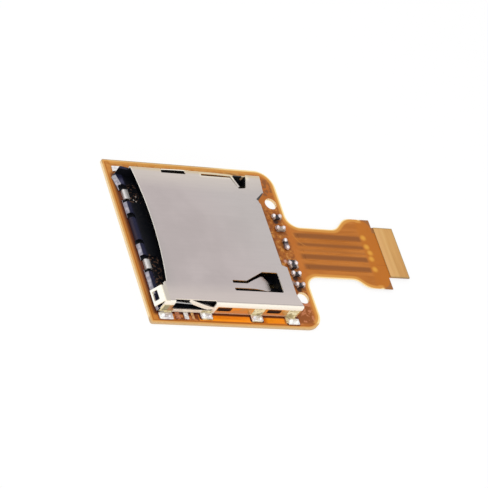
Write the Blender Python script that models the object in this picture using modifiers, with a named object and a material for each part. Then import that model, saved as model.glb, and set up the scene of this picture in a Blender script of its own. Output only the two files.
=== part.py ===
"""A push-push memory card socket soldered on a flexible circuit with a plug-in tail.

The card goes in along +X over the front lip, +Y is the far side and +Z is up. The origin lies
in the underside of the board stiffener, below the middle of the socket's cover.
"""

import math

import bmesh
import bpy
from mathutils import Matrix, Vector

MM = 0.001

# Card path, the slider's room beside it and the folded cover round both.
CARD_PATH_WIDTH = 24.25 * MM
NEAR_RAIL_THICKNESS = 0.3 * MM
FAR_RAIL_THICKNESS = 0.31 * MM
SLIDER_WIDTH = 1.96 * MM
SLIDER_CLEARANCE = 0.1 * MM
HOUSING_GAP = 0.04 * MM
FIT_GAP = 0.03 * MM
COVER_LENGTH = 25.7 * MM
COVER_HEIGHT = 3.0 * MM
COVER_SHEET = 0.2 * MM
COVER_BEND = 0.4 * MM
COVER_SKIRT_GAP = 0.15 * MM
COVER_ARC_DEPTH = 1.0 * MM
COVER_ARC_STEPS = 12
COVER_REAR_MIDDLE_SETBACK = 1.7 * MM
COVER_REAR_NEAR_SETBACK = 0.75 * MM
REAR_STEP_FAR_INSET = 3.85 * MM
REAR_STEP_SLANT = 1.65 * MM
REAR_STEP_NEAR_INSET = 8.55 * MM
REAR_FAR_SLANT = 0.4 * MM
REAR_SLIT_WIDTH = 0.4 * MM
REAR_SLIT_DEPTH = 0.25 * MM
EAR_WIDTH = 3.05 * MM
EAR_SIDE_GAP = 0.2 * MM
EAR_REACH = 1.35 * MM
EAR_DROP = 1.8 * MM
EAR_RUN = 1.1 * MM
EAR_WINDOW_LENGTH = 1.3 * MM
EAR_WINDOW_HEIGHT = 1.1 * MM
LUG_WIDTH = 0.75 * MM
LUG_REACH = 0.7 * MM
LUG_CORNER = 0.25 * MM

# Springs and openings cut in the cover, set back from its front or rear edge.
SPRING_LEAF_SHEET = 0.18 * MM
TONGUE_ROOT_SETBACK = 12.75 * MM
TONGUE_CARD_INSET = 0.7 * MM
TONGUE_NECK_WIDTH = 1.0 * MM
TONGUE_NECK_LENGTH = 2.8 * MM
TONGUE_HEAD_WIDTH = 2.95 * MM
TONGUE_FLARE_LENGTH = 3.7 * MM
TONGUE_HEAD_LENGTH = 1.3 * MM
TONGUE_DROP = 0.95 * MM
TONGUE_SLOT = 0.55 * MM
TONGUE_FAR_TAPER = 1.03 * MM
TONGUE_NEAR_TAPER = 0.35 * MM
TONGUE_STEPS = 10
TONGUE_END_GAP = 1.8 * MM
ARM_BRIDGE = 3.1 * MM
ARM_SIDE_INSET = 0.2 * MM
ARM_TURN_SETBACK = 6.25 * MM
ARM_END_SETBACK = 2.65 * MM
ARM_WIDTH = 0.42 * MM
ARM_SLOT = 0.4 * MM
ARM_TURN_X = 1.1 * MM
ARM_TURN_Y = 2.2 * MM
ARM_HOLE_FLAT = 0.9 * MM
ARM_DROP = 0.35 * MM
ARM_NOTCH_BOTTOM = 2.45 * MM
ARM_BAY_BOTTOM = 1.6 * MM
SIDE_WINDOW_SILL = 0.95 * MM
LEAF_STEPS = 5
NEAR_WINDOW_SETBACK = 0.65 * MM
NEAR_WINDOW_LENGTH = 7.85 * MM
NEAR_WINDOW_DEPTH = 0.6 * MM
NEAR_LEAF_LENGTH = 4.9 * MM
NEAR_LEAF_HEIGHT = 0.5 * MM
NEAR_LEAF_BOTTOM = 1.3 * MM
NEAR_LEAF_CLIMB = 1.05 * MM
NEAR_LEAF_BEND = 0.7 * MM
FAR_WINDOW_SETBACK = 5.8 * MM
FAR_WINDOW_LENGTH = 4.8 * MM
FAR_WINDOW_DEPTH = 0.7 * MM
FAR_LEAF_LENGTH = 4.55 * MM
FAR_LEAF_HEIGHT = 0.9 * MM
FAR_LEAF_BOTTOM = 1.95 * MM
FAR_LEAF_CLIMB = 0.0 * MM
FAR_LEAF_BEND = 0.1 * MM
LATCH_LENGTH = 2.5 * MM
LATCH_HEIGHT = 0.6 * MM
LATCH_BOTTOM = 0.95 * MM
LATCH_TAPER = 0.3 * MM
LATCH_PROUD = 0.2 * MM
NEAR_LATCH_SETBACK = 10.65 * MM
FAR_LATCH_SETBACK = 2.85 * MM
REAR_LATCH_SETBACK = 5.25 * MM
FOOT_LENGTH = 1.25 * MM
FOOT_HEIGHT = 0.6 * MM
FOOT_WIDTH = 2.0 * MM
NEAR_FOOT_SETBACKS = (0.05 * MM, 7.75 * MM)
FAR_FOOT_SETBACKS = (1.25 * MM, 8.45 * MM)
REAR_FOOT_SETBACKS = (8.2 * MM, 1.35 * MM)

# Moulded housing.
HOUSING_FRONT_REACH = 1.7 * MM
HOUSING_REAR_SETBACK = 1.8 * MM
HOUSING_FLOOR = 0.6 * MM
HOUSING_REAR_WALL = 1.1 * MM
HOUSING_TOP_CHAMFER = 0.22 * MM
LIP_LENGTH = 1.0 * MM
LIP_HEIGHT = 0.85 * MM
LIP_CHAMFER = 0.4 * MM
LIP_MIDDLE_SETBACK = 0.1 * MM
LIP_GAP_INSETS = (1.85 * MM, 7.7 * MM, 13.1 * MM, 16.2 * MM)
LIP_GAP_WIDTHS = (3.55 * MM, 0.9 * MM, 0.8 * MM, 3.3 * MM)
LIP_GAP_REACH = 0.35 * MM
LIP_GAP_FLOOR = 0.25 * MM
LIP_WINDOW_LENGTH = 2.0 * MM
FAR_POST_HEIGHT = 2.4 * MM
FAR_POST_CHAMFER = 0.8 * MM
POST_CORNER = 0.25 * MM
NEAR_POST_LENGTH = 1.0 * MM
NEAR_RAIL_HEIGHT = 1.65 * MM
GUIDE_RIB_WIDTH = 1.15 * MM
PIN_HOLE_DEPTH = 0.8 * MM
BLADE_SLOT_FRONT = 1.5 * MM
BLADE_SLOT_REAR = 0.35 * MM

# Contacts, one for each pad of the card, two switch blades and the tabs of the front lip.
CONTACT_WIDTH = 0.6 * MM
CONTACT_SHEET = 0.15 * MM
CONTACT_FIRST_INSET = 3.1 * MM
CONTACT_LAST_STEP = 1.7 * MM
CONTACT_LAST_INSET = 1.95 * MM
CONTACT_COUNT = 9
CONTACT_BEAM = 6.55 * MM
CONTACT_NOSE = 0.9 * MM
CONTACT_TOUCH_HEIGHT = 1.0 * MM
CONTACT_NOSE_DROP = 0.3 * MM
CONTACT_SEAT_HEIGHT = 0.42 * MM
CONTACT_TAIL_LENGTH = 2.1 * MM
CONTACT_JOG_SETBACK = 0.15 * MM
CONTACT_JOG = 0.3 * MM
CONTACT_SLOT_MARGIN = 0.2 * MM
CONTACT_SLOT_FRONT = 0.6 * MM
BLADE_WIDTH = 0.5 * MM
BLADE_INSET = 0.6 * MM
DETECT_BEAM = 2.95 * MM
PROTECT_FOOT_SETBACK = 6.35 * MM
PROTECT_BEAM = 6.2 * MM
PROTECT_FOOT_LENGTH = 0.6 * MM
BLADE_NOSE = 0.75 * MM
TAB_SHEET = 0.2 * MM
TAB_WIDTH = 1.9 * MM
TAB_LENGTH = 0.95 * MM
TAB_SETBACK = 0.35 * MM
TAB_HEIGHT = 0.72 * MM
TAB_INSETS = (3.75 * MM, 17.88 * MM)
TAB_GAPS = (0, 3)

# Push-push mechanism beside the card path.
SLIDER_TRAVEL = 4.4 * MM
SLIDER_STOP_GAP = 0.15 * MM
SLIDER_LIFT = 0.05 * MM
SLIDER_HEIGHT = 2.05 * MM
SLIDER_WEB = 0.4 * MM
NOSE_REACH = 2.6 * MM
NOSE_HEIGHT = 0.6 * MM
NOSE_FLAT = 0.5 * MM
CAM_BLOCK_LENGTH = 8.0 * MM
CAM_RECESS = 0.55 * MM
CAM_TRACK_DEPTH = 0.5 * MM
CAM_TRACK_INSET = 2.0 * MM
CAM_LANE = 0.5 * MM
CAM_LOCK_TRAVEL = 3.4 * MM
SPRING_SEAT_WALL = 1.0 * MM
SPRING_DIAMETER = 1.3 * MM
SPRING_WIRE = 0.2 * MM
SPRING_TURNS = 13
SPRING_TURN_STEPS = 12
SPRING_POST = 0.5 * MM
SPRING_POST_LENGTH = 0.7 * MM
POST_SEGMENTS = 16
PIN_DIAMETER = 0.35 * MM
PIN_PIVOT_SETBACK = 0.45 * MM
PIN_PIVOT_REACH = 2.8 * MM
PIN_BEND = 0.35 * MM
PIN_PIVOT_DEPTH = 0.69 * MM
PIN_SWING = 1.15 * MM

# Film, its tail and plug end, and the stiffeners.
STIFFENER_THICKNESS = 0.35 * MM
FILM_THICKNESS = 0.15 * MM
GLUE_GAP = 0.01 * MM
BOARD_FRONT_MARGIN = 1.5 * MM
BOARD_REAR_MARGIN = 5.0 * MM
BOARD_NEAR_MARGIN = 2.15 * MM
BOARD_FAR_MARGIN = 3.3 * MM
BOARD_FAR_CORNER = 3.4 * MM
BOARD_NEAR_CORNER = 3.0 * MM
BOARD_FRONT_CORNER = 0.4 * MM
BOARD_CORNER_STEPS = 8
LOCATING_HOLE_DIAMETER = 2.3 * MM
LOCATING_HOLE_INSET = 2.1 * MM
FAR_HOLE_INSET = 7.0 * MM
NEAR_HOLE_INSET = 6.3 * MM
TAIL_INSET = 10.75 * MM
TAIL_WIDTH = 10.45 * MM
TAIL_ROOT_FILLET = 2.4 * MM
TAIL_LENGTH = 12.4 * MM
HEAD_LENGTH = 5.35 * MM
HEAD_FAR_STEP = 2.6 * MM
HEAD_NEAR_STEP = 1.65 * MM
HEAD_CORNER = 0.8 * MM
PLUG_LENGTH = 4.4 * MM
PLUG_WIDTH = 10.6 * MM
PLUG_FAR_SETBACK = 1.6 * MM
PLUG_STIFFENER_THICKNESS = 0.12 * MM
PLUG_STIFFENER_SETBACK = 0.35 * MM
FINGER_PITCH = 0.5 * MM
FINGER_WIDTH = 0.3 * MM
FINGER_HEIGHT = 0.03 * MM
FINGER_LENGTH = 3.4 * MM
FINGER_MARGIN = 0.2 * MM
TRACK_HEIGHT = 0.03 * MM
TRACK_END_INSET = 1.3 * MM
TRACK_INSETS = (8.6 * MM, 6.75 * MM, 5.55 * MM, 4.2 * MM, 2.05 * MM)
TRACK_WIDTHS = (1.1 * MM, 0.85 * MM, 0.65 * MM, 1.3 * MM, 0.85 * MM)
TRACK_CORNER = 0.25 * MM
SMALL_CORNER_STEPS = 3

# Small parts and solder.
CHIP_INSET = 2.05 * MM
CHIP_LENGTH = 1.6 * MM
CHIP_WIDTH = 0.8 * MM
WIDE_CHIP_WIDTH = 1.5 * MM
CHIP_HEIGHT = 0.45 * MM
CHIP_CAP = 0.35 * MM
CHIP_CAP_RISE = 0.03 * MM
CHIP_INSETS = (22.9 * MM, 20.45 * MM, 17.25 * MM, 13.05 * MM, 11.0 * MM, 8.7 * MM)
TURNED_CHIP = 3
WIDE_CHIP = 4
SOLDER_MARGIN = 0.3 * MM
SOLDER_BEAD = 0.2 * MM
FRONT_PAD_REACH = 1.7 * MM

# How far a cutter reaches past the body it cuts, and an arc's middle from its corner.
CUT_PAST = 1.0 * MM
ARC_MIDDLE = 1 - math.cos(math.pi / 4)

# Heights and widths worked out from the sizes above.
FILM_BOTTOM = STIFFENER_THICKNESS + GLUE_GAP
BOARD = FILM_BOTTOM + FILM_THICKNESS
COVER_TOP = BOARD + COVER_HEIGHT
COVER_CEILING = COVER_TOP - COVER_SHEET
HOUSING_BOTTOM = BOARD + HOUSING_GAP
HOUSING_TOP = COVER_CEILING - HOUSING_GAP
FLOOR = BOARD + HOUSING_FLOOR
SLIDER_ROOM = SLIDER_WIDTH + 2 * SLIDER_CLEARANCE
HOUSING_WIDTH = NEAR_RAIL_THICKNESS + SLIDER_ROOM + CARD_PATH_WIDTH + FAR_RAIL_THICKNESS
HOUSING_SIDE = HOUSING_WIDTH / 2
COVER_INNER = HOUSING_SIDE + HOUSING_GAP
COVER_SIDE = COVER_INNER + COVER_SHEET
CARD_FAR_Y = HOUSING_SIDE - FAR_RAIL_THICKNESS
CARD_NEAR_Y = CARD_FAR_Y - CARD_PATH_WIDTH

# Places along the socket.
COVER_FRONT_X = -COVER_LENGTH / 2
COVER_REAR_X = COVER_LENGTH / 2
HOUSING_FRONT_X = COVER_FRONT_X - HOUSING_FRONT_REACH
HOUSING_REAR_X = COVER_REAR_X - HOUSING_REAR_SETBACK
REAR_WALL_X = HOUSING_REAR_X - HOUSING_REAR_WALL
TAB_FRONT_X = HOUSING_FRONT_X + TAB_SETBACK
LUG_FRONT_X = COVER_FRONT_X - LUG_REACH
EAR_FOLD_X = COVER_FRONT_X - EAR_REACH
EAR_NEAR_Y = -COVER_SIDE + EAR_SIDE_GAP
EAR_FAR_Y = EAR_NEAR_Y + EAR_WIDTH
LUG_FAR_Y = EAR_FAR_Y + LUG_WIDTH
TONGUE_ROOT_X = COVER_REAR_X - TONGUE_ROOT_SETBACK
TONGUE_NEAR_Y = CARD_NEAR_Y + TONGUE_CARD_INSET
NEAR_WINDOW_FRONT_X = COVER_FRONT_X + NEAR_WINDOW_SETBACK
NEAR_WINDOW_REAR_X = NEAR_WINDOW_FRONT_X + NEAR_WINDOW_LENGTH
FAR_WINDOW_FRONT_X = COVER_FRONT_X + FAR_WINDOW_SETBACK
FAR_WINDOW_REAR_X = FAR_WINDOW_FRONT_X + FAR_WINDOW_LENGTH
ARM_ROOT_X = FAR_WINDOW_REAR_X + ARM_BRIDGE
ARM_TURN_START_X = COVER_REAR_X - ARM_TURN_SETBACK
ARM_END_X = COVER_REAR_X - ARM_END_SETBACK
ARM_NEAR_Y = COVER_SIDE - ARM_SIDE_INSET - ARM_WIDTH
CONTACT_TOUCH_X = REAR_WALL_X - CONTACT_BEAM
CONTACT_TIP_X = CONTACT_TOUCH_X - CONTACT_NOSE
DETECT_TOUCH_X = REAR_WALL_X - DETECT_BEAM
PROTECT_FOOT_X = REAR_WALL_X - PROTECT_FOOT_SETBACK
PROTECT_TOUCH_X = PROTECT_FOOT_X - PROTECT_BEAM
BLADE_Y = CARD_FAR_Y - BLADE_INSET
CONTACT_SPREAD = CARD_PATH_WIDTH - CONTACT_FIRST_INSET - CONTACT_LAST_STEP - CONTACT_LAST_INSET
CONTACT_PITCH = CONTACT_SPREAD / (CONTACT_COUNT - 2)

# Places of the slider, its spring and the cam follower.
SLIDER_REAR_X = REAR_WALL_X - SLIDER_TRAVEL - SLIDER_STOP_GAP
PIN_PIVOT_X = COVER_FRONT_X + PIN_PIVOT_SETBACK
SLIDER_FRONT_X = PIN_PIVOT_X + PIN_PIVOT_REACH
SLIDER_FAR_Y = CARD_NEAR_Y - SLIDER_CLEARANCE
SLIDER_NEAR_Y = SLIDER_FAR_Y - SLIDER_WIDTH
SLIDER_BOTTOM = FLOOR + SLIDER_LIFT
SLIDER_TOP = SLIDER_BOTTOM + SLIDER_HEIGHT
CAM_FACE_Y = SLIDER_NEAR_Y + CAM_RECESS
CAM_REAR_X = SLIDER_FRONT_X + CAM_BLOCK_LENGTH
CAM_MIDDLE_Z = (SLIDER_BOTTOM + SLIDER_TOP) / 2
SPRING_SEAT_X = CAM_REAR_X + SPRING_SEAT_WALL
SPRING_Y = SLIDER_NEAR_Y + SPRING_DIAMETER / 2 + SLIDER_CLEARANCE
SPRING_Z = SLIDER_BOTTOM + SLIDER_WEB + SLIDER_CLEARANCE + SPRING_DIAMETER / 2
PIN_Y = CAM_FACE_Y - PIN_DIAMETER / 2 - SLIDER_CLEARANCE
PIN_TIP_X = SLIDER_FRONT_X + SLIDER_TRAVEL + CAM_TRACK_INSET
PIN_LOW_Z = CAM_MIDDLE_Z - PIN_SWING / 2
GUIDE_RIB_Y = CARD_NEAR_Y - GUIDE_RIB_WIDTH

# Outline of the board, its tail and the plug end.
BOARD_FRONT_X = HOUSING_FRONT_X - BOARD_FRONT_MARGIN
BOARD_REAR_X = COVER_REAR_X + BOARD_REAR_MARGIN
BOARD_NEAR_Y = -COVER_SIDE - BOARD_NEAR_MARGIN
BOARD_FAR_Y = COVER_SIDE + BOARD_FAR_MARGIN
HOLE_X = BOARD_REAR_X - LOCATING_HOLE_INSET
FAR_HOLE_Y = BOARD_FAR_Y - FAR_HOLE_INSET
NEAR_HOLE_Y = BOARD_NEAR_Y + NEAR_HOLE_INSET
TAIL_NEAR_Y = BOARD_NEAR_Y + TAIL_INSET
TAIL_FAR_Y = TAIL_NEAR_Y + TAIL_WIDTH
HEAD_X = BOARD_REAR_X + TAIL_LENGTH
HEAD_END_X = HEAD_X + HEAD_LENGTH
HEAD_FAR_Y = TAIL_FAR_Y + HEAD_FAR_STEP
HEAD_NEAR_Y = TAIL_NEAR_Y - HEAD_NEAR_STEP
PLUG_END_X = HEAD_END_X + PLUG_LENGTH
PLUG_FAR_Y = HEAD_FAR_Y - PLUG_FAR_SETBACK
PLUG_NEAR_Y = PLUG_FAR_Y - PLUG_WIDTH


def clear_scene():
    """Removes whatever the scene holds."""
    for item in list(bpy.data.objects):
        bpy.data.objects.remove(item, do_unlink=True)


def make_collection(name):
    group = bpy.data.collections.new(name)
    bpy.context.scene.collection.children.link(group)
    return group


def material(name, colour, roughness, metallic=0.0):
    """A Principled material in one plain colour."""
    made = bpy.data.materials.new(name)
    made.use_nodes = True
    shader = made.node_tree.nodes["Principled BSDF"]
    shader.inputs["Base Color"].default_value = (*colour, 1.0)
    shader.inputs["Roughness"].default_value = roughness
    shader.inputs["Metallic"].default_value = metallic
    made.diffuse_color = (*colour, 1.0)
    return made


clear_scene()
PARTS = make_collection("memory_card_socket")
TOOLS = make_collection("cutters")
STEEL = material("cover_steel", (0.62, 0.59, 0.57), 0.28, 1.0)
FILM = material("amber_film", (0.62, 0.26, 0.06), 0.4)
STIFFENER = material("stiffener_board", (0.72, 0.45, 0.2), 0.55)
PLASTIC = material("black_moulding", (0.02, 0.02, 0.025), 0.45)
CONTACT_METAL = material("plated_contact", (0.85, 0.66, 0.3), 0.3, 1.0)
SPRING_STEEL = material("spring_steel", (0.6, 0.6, 0.6), 0.3, 1.0)
SLIDER_PLASTIC = material("slider_moulding", (0.12, 0.12, 0.13), 0.5)
CERAMIC = material("chip_ceramic", (0.08, 0.07, 0.07), 0.5)
SOLDER = material("solder", (0.75, 0.75, 0.76), 0.25, 1.0)


def add(name, mesh, group=TOOLS, finish=None):
    """Links a mesh as an object. Helpers go with the cutters, shown as wires."""
    item = bpy.data.objects.new(name, mesh)
    group.objects.link(item)
    if group is TOOLS:
        item.hide_render = True
        item.display_type = "WIRE"
    if finish is not None:
        mesh.materials.append(finish)
    return item


def box(name, low, high, group=TOOLS, finish=None):
    """A box between two corners."""
    low = Vector(low)
    high = Vector(high)
    work = bmesh.new()
    bmesh.ops.create_cube(work, size=1.0)
    bmesh.ops.scale(work, verts=work.verts, vec=high - low)
    bmesh.ops.translate(work, verts=work.verts, vec=(low + high) / 2)
    mesh = bpy.data.meshes.new(name)
    work.to_mesh(mesh)
    work.free()
    return add(name, mesh, group, finish)


def rod(name, start, end, radius, segments=24, group=TOOLS, finish=None):
    """A round bar from one point to another."""
    start = Vector(start)
    end = Vector(end)
    along = end - start
    turn = Vector((0, 0, 1)).rotation_difference(along).to_matrix().to_4x4()
    work = bmesh.new()
    bmesh.ops.create_cone(
        work,
        cap_ends=True,
        segments=segments,
        radius1=radius,
        radius2=radius,
        depth=along.length,
        matrix=Matrix.Translation((start + end) / 2) @ turn,
    )
    mesh = bpy.data.meshes.new(name)
    work.to_mesh(mesh)
    work.free()
    return add(name, mesh, group, finish)


def rounded(corners, steps=6):
    """An outline whose corners (x, y, radius) are turned into arcs."""
    outline = []
    count = len(corners)
    for i, (x, y, radius) in enumerate(corners):
        here = Vector((x, y))
        before = Vector(corners[i - 1][:2]) - here
        after = Vector(corners[(i + 1) % count][:2]) - here
        if radius <= 0:
            outline.append((x, y))
            continue
        half = before.angle(after) / 2
        reach = radius / math.tan(half)
        centre = here + (before.normalized() + after.normalized()).normalized() * (radius / math.sin(half))
        first = here + before.normalized() * reach - centre
        last = here + after.normalized() * reach - centre
        turn = first.angle_signed(last)
        for k in range(steps + 1):
            spoke = first.copy()
            spoke.rotate(Matrix.Rotation(-turn * k / steps, 2))
            outline.append(tuple(centre + spoke))
    return outline


def rounded_path(corners, radius, steps=4):
    """An open path with its inner corners turned into arcs of one radius."""
    ends = {0, len(corners) - 1}
    return rounded([(x, y, 0 if i in ends else radius) for i, (x, y) in enumerate(corners)], steps)


def prism(name, loops, low, high, plane="XY", group=TOOLS, finish=None):
    """A flat outline, with any holes as further loops, given a thickness from low to high."""
    curve = bpy.data.curves.new(name, "CURVE")
    curve.dimensions = "2D"
    curve.fill_mode = "BOTH"
    curve.extrude = (high - low) / 2
    for loop in loops:
        spline = curve.splines.new("POLY")
        spline.points.add(len(loop) - 1)
        for point, (x, y) in zip(spline.points, loop):
            point.co = (x, y, 0, 1)
        spline.use_cyclic_u = True
    flat = bpy.data.objects.new(name + "_outline", curve)
    TOOLS.objects.link(flat)
    bpy.context.view_layer.update()
    mesh = bpy.data.meshes.new_from_object(flat.evaluated_get(bpy.context.evaluated_depsgraph_get()))
    bpy.data.objects.remove(flat)
    place = Matrix.Translation((0, 0, (low + high) / 2))
    if plane == "XZ":
        place = Matrix.Rotation(math.pi / 2, 4, "X") @ Matrix.Translation((0, 0, -(low + high) / 2))
    if plane == "YZ":
        turn = Matrix.Rotation(math.pi / 2, 4, "Z") @ Matrix.Rotation(math.pi / 2, 4, "X")
        place = turn @ Matrix.Translation((0, 0, (low + high) / 2))
    work = bmesh.new()
    work.from_mesh(mesh)
    bmesh.ops.remove_doubles(work, verts=work.verts, dist=1e-7)
    bmesh.ops.transform(work, verts=work.verts, matrix=place)
    bmesh.ops.recalc_face_normals(work, faces=work.faces)
    work.to_mesh(mesh)
    work.free()
    mesh.materials.clear()
    mesh.name = name
    return add(name, mesh, group, finish)


def ribbon(name, rungs, sheet, side=0.0, group=TOOLS, finish=None):
    """A strip of sheet metal through pairs of edge points, thickened by Solidify."""
    work = bmesh.new()
    pairs = [(work.verts.new(a), work.verts.new(b)) for a, b in rungs]
    for (a, b), (c, d) in zip(pairs, pairs[1:]):
        work.faces.new((a, b, d, c))
    mesh = bpy.data.meshes.new(name)
    work.to_mesh(mesh)
    work.free()
    item = add(name, mesh, group, finish)
    wall = item.modifiers.new("sheet", "SOLIDIFY")
    wall.thickness = sheet
    wall.offset = side
    wall.use_even_offset = True
    return item


def strip(name, path, low, high, sheet, plane="XZ", side=0.0, group=TOOLS, finish=None):
    """A ribbon that follows a path in one plane and is as wide as from low to high."""
    if plane == "XZ":
        rungs = [((x, low, z), (x, high, z)) for x, z in path]
    else:
        rungs = [((low, y, z), (high, y, z)) for y, z in path]
    return ribbon(name, rungs, sheet, side, group, finish)


def wire(name, points, radius, group=PARTS, finish=None):
    """A round wire through points, as a curve with filled caps."""
    curve = bpy.data.curves.new(name, "CURVE")
    curve.dimensions = "3D"
    curve.bevel_depth = radius
    curve.bevel_resolution = 2
    curve.use_fill_caps = True
    spline = curve.splines.new("POLY")
    spline.points.add(len(points) - 1)
    for point, place in zip(spline.points, points):
        point.co = (*place, 1)
    curve.materials.append(finish)
    item = bpy.data.objects.new(name, curve)
    group.objects.link(item)
    return item


def boolean(target, tool, operation):
    step = target.modifiers.new(tool.name, "BOOLEAN")
    step.operation = operation
    step.object = tool
    step.solver = "EXACT"


def cut(target, *tools):
    for tool in tools:
        boolean(target, tool, "DIFFERENCE")


def join(target, *tools):
    for tool in tools:
        boolean(target, tool, "UNION")


def board_outline():
    """The board's outline: a rounded rectangle on its rear side, running on into the tail."""
    head_near = HEAD_X - HEAD_NEAR_STEP
    head_far = HEAD_X - HEAD_FAR_STEP
    return rounded(
        [
            (BOARD_FRONT_X, BOARD_FAR_Y, BOARD_FRONT_CORNER),
            (BOARD_FRONT_X, BOARD_NEAR_Y, BOARD_FRONT_CORNER),
            (BOARD_REAR_X, BOARD_NEAR_Y, BOARD_NEAR_CORNER),
            (BOARD_REAR_X, TAIL_NEAR_Y, TAIL_ROOT_FILLET),
            (head_near, TAIL_NEAR_Y, HEAD_CORNER),
            (HEAD_X, HEAD_NEAR_Y, HEAD_CORNER),
            (HEAD_END_X, HEAD_NEAR_Y, 0),
            (HEAD_END_X, PLUG_NEAR_Y, 0),
            (PLUG_END_X, PLUG_NEAR_Y, 0),
            (PLUG_END_X, PLUG_FAR_Y, 0),
            (HEAD_END_X, PLUG_FAR_Y, 0),
            (HEAD_END_X, HEAD_FAR_Y, 0),
            (HEAD_X, HEAD_FAR_Y, HEAD_CORNER),
            (head_far, TAIL_FAR_Y, HEAD_CORNER),
            (BOARD_REAR_X, TAIL_FAR_Y, TAIL_ROOT_FILLET),
            (BOARD_REAR_X, BOARD_FAR_Y, BOARD_FAR_CORNER),
        ],
        BOARD_CORNER_STEPS,
    )


def hole_loop(y, segments=24):
    radius = LOCATING_HOLE_DIAMETER / 2
    turns = [2 * math.pi * k / segments for k in range(segments)]
    return [(HOLE_X + radius * math.cos(t), y + radius * math.sin(t)) for t in turns]


def make_flex_circuit():
    """The film with its tracks raised on top of the tail and its fingers under the plug end."""
    loops = [board_outline(), hole_loop(FAR_HOLE_Y), hole_loop(NEAR_HOLE_Y)]
    film = prism("flex_circuit", loops, FILM_BOTTOM, BOARD, group=PARTS, finish=FILM)
    overlap = FILM_THICKNESS / 2
    for k, (inset, width) in enumerate(zip(TRACK_INSETS, TRACK_WIDTHS)):
        middle = TAIL_NEAR_Y + inset
        half = width / 2
        start = BOARD_REAR_X + TRACK_END_INSET
        end = HEAD_X + TRACK_END_INSET
        outline = rounded(
            [
                (start, middle - half, TRACK_CORNER),
                (end, middle - half, TRACK_CORNER),
                (end, middle + half, TRACK_CORNER),
                (start, middle + half, TRACK_CORNER),
            ],
            SMALL_CORNER_STEPS,
        )
        join(film, prism("track_%d" % (k + 1), [outline], BOARD - overlap, BOARD + TRACK_HEIGHT))
    count = int((PLUG_WIDTH - 2 * FINGER_MARGIN + FINGER_PITCH - FINGER_WIDTH) / FINGER_PITCH)
    first = (PLUG_NEAR_Y + PLUG_FAR_Y - (count - 1) * FINGER_PITCH) / 2
    end = PLUG_END_X - FINGER_MARGIN
    for k in range(count):
        y = first + k * FINGER_PITCH
        low = (end - FINGER_LENGTH, y - FINGER_WIDTH / 2, FILM_BOTTOM - FINGER_HEIGHT)
        high = (end, y + FINGER_WIDTH / 2, FILM_BOTTOM + overlap)
        join(film, box("finger_%d" % (k + 1), low, high))
    return film


def make_stiffeners():
    """The board under the socket and the stiff backing on the plug end."""
    outline = rounded(
        [
            (BOARD_FRONT_X, BOARD_FAR_Y, BOARD_FRONT_CORNER),
            (BOARD_FRONT_X, BOARD_NEAR_Y, BOARD_FRONT_CORNER),
            (BOARD_REAR_X, BOARD_NEAR_Y, BOARD_NEAR_CORNER),
            (BOARD_REAR_X, BOARD_FAR_Y, BOARD_FAR_CORNER),
        ],
        BOARD_CORNER_STEPS,
    )
    loops = [outline, hole_loop(FAR_HOLE_Y), hole_loop(NEAR_HOLE_Y)]
    prism("board_stiffener", loops, 0, STIFFENER_THICKNESS, group=PARTS, finish=STIFFENER)
    low = (HEAD_END_X + PLUG_STIFFENER_SETBACK, PLUG_NEAR_Y, BOARD + GLUE_GAP)
    high = (PLUG_END_X, PLUG_FAR_Y, BOARD + GLUE_GAP + PLUG_STIFFENER_THICKNESS)
    box("plug_stiffener", low, high, PARTS, STIFFENER)


def contact_places():
    """The middle of each contact across the card, in the card's own order along +Y."""
    first = CARD_NEAR_Y + CONTACT_FIRST_INSET
    places = [first + k * CONTACT_PITCH for k in range(CONTACT_COUNT - 1)]
    places.append(places[-1] + CONTACT_LAST_STEP)
    return places


def make_contacts():
    """Cantilever beams that rise to the card's pads, with tails flat on the film behind."""
    half = CONTACT_SHEET / 2
    tail = BOARD + FIT_GAP + half
    seat = BOARD + CONTACT_SEAT_HEIGHT
    touch = BOARD + CONTACT_TOUCH_HEIGHT
    path = rounded_path(
        [
            (HOUSING_REAR_X + CONTACT_TAIL_LENGTH, tail),
            (HOUSING_REAR_X + CONTACT_JOG_SETBACK + CONTACT_JOG, tail),
            (HOUSING_REAR_X + CONTACT_JOG_SETBACK, seat),
            (REAR_WALL_X - CONTACT_JOG_SETBACK, seat),
            (CONTACT_TOUCH_X, touch),
            (CONTACT_TIP_X, touch - CONTACT_NOSE_DROP),
        ],
        CONTACT_SHEET,
    )
    for k, y in enumerate(contact_places()):
        low = y - CONTACT_WIDTH / 2
        high = y + CONTACT_WIDTH / 2
        strip("contact_%d" % (k + 1), path, low, high, CONTACT_SHEET, group=PARTS, finish=CONTACT_METAL)


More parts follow.
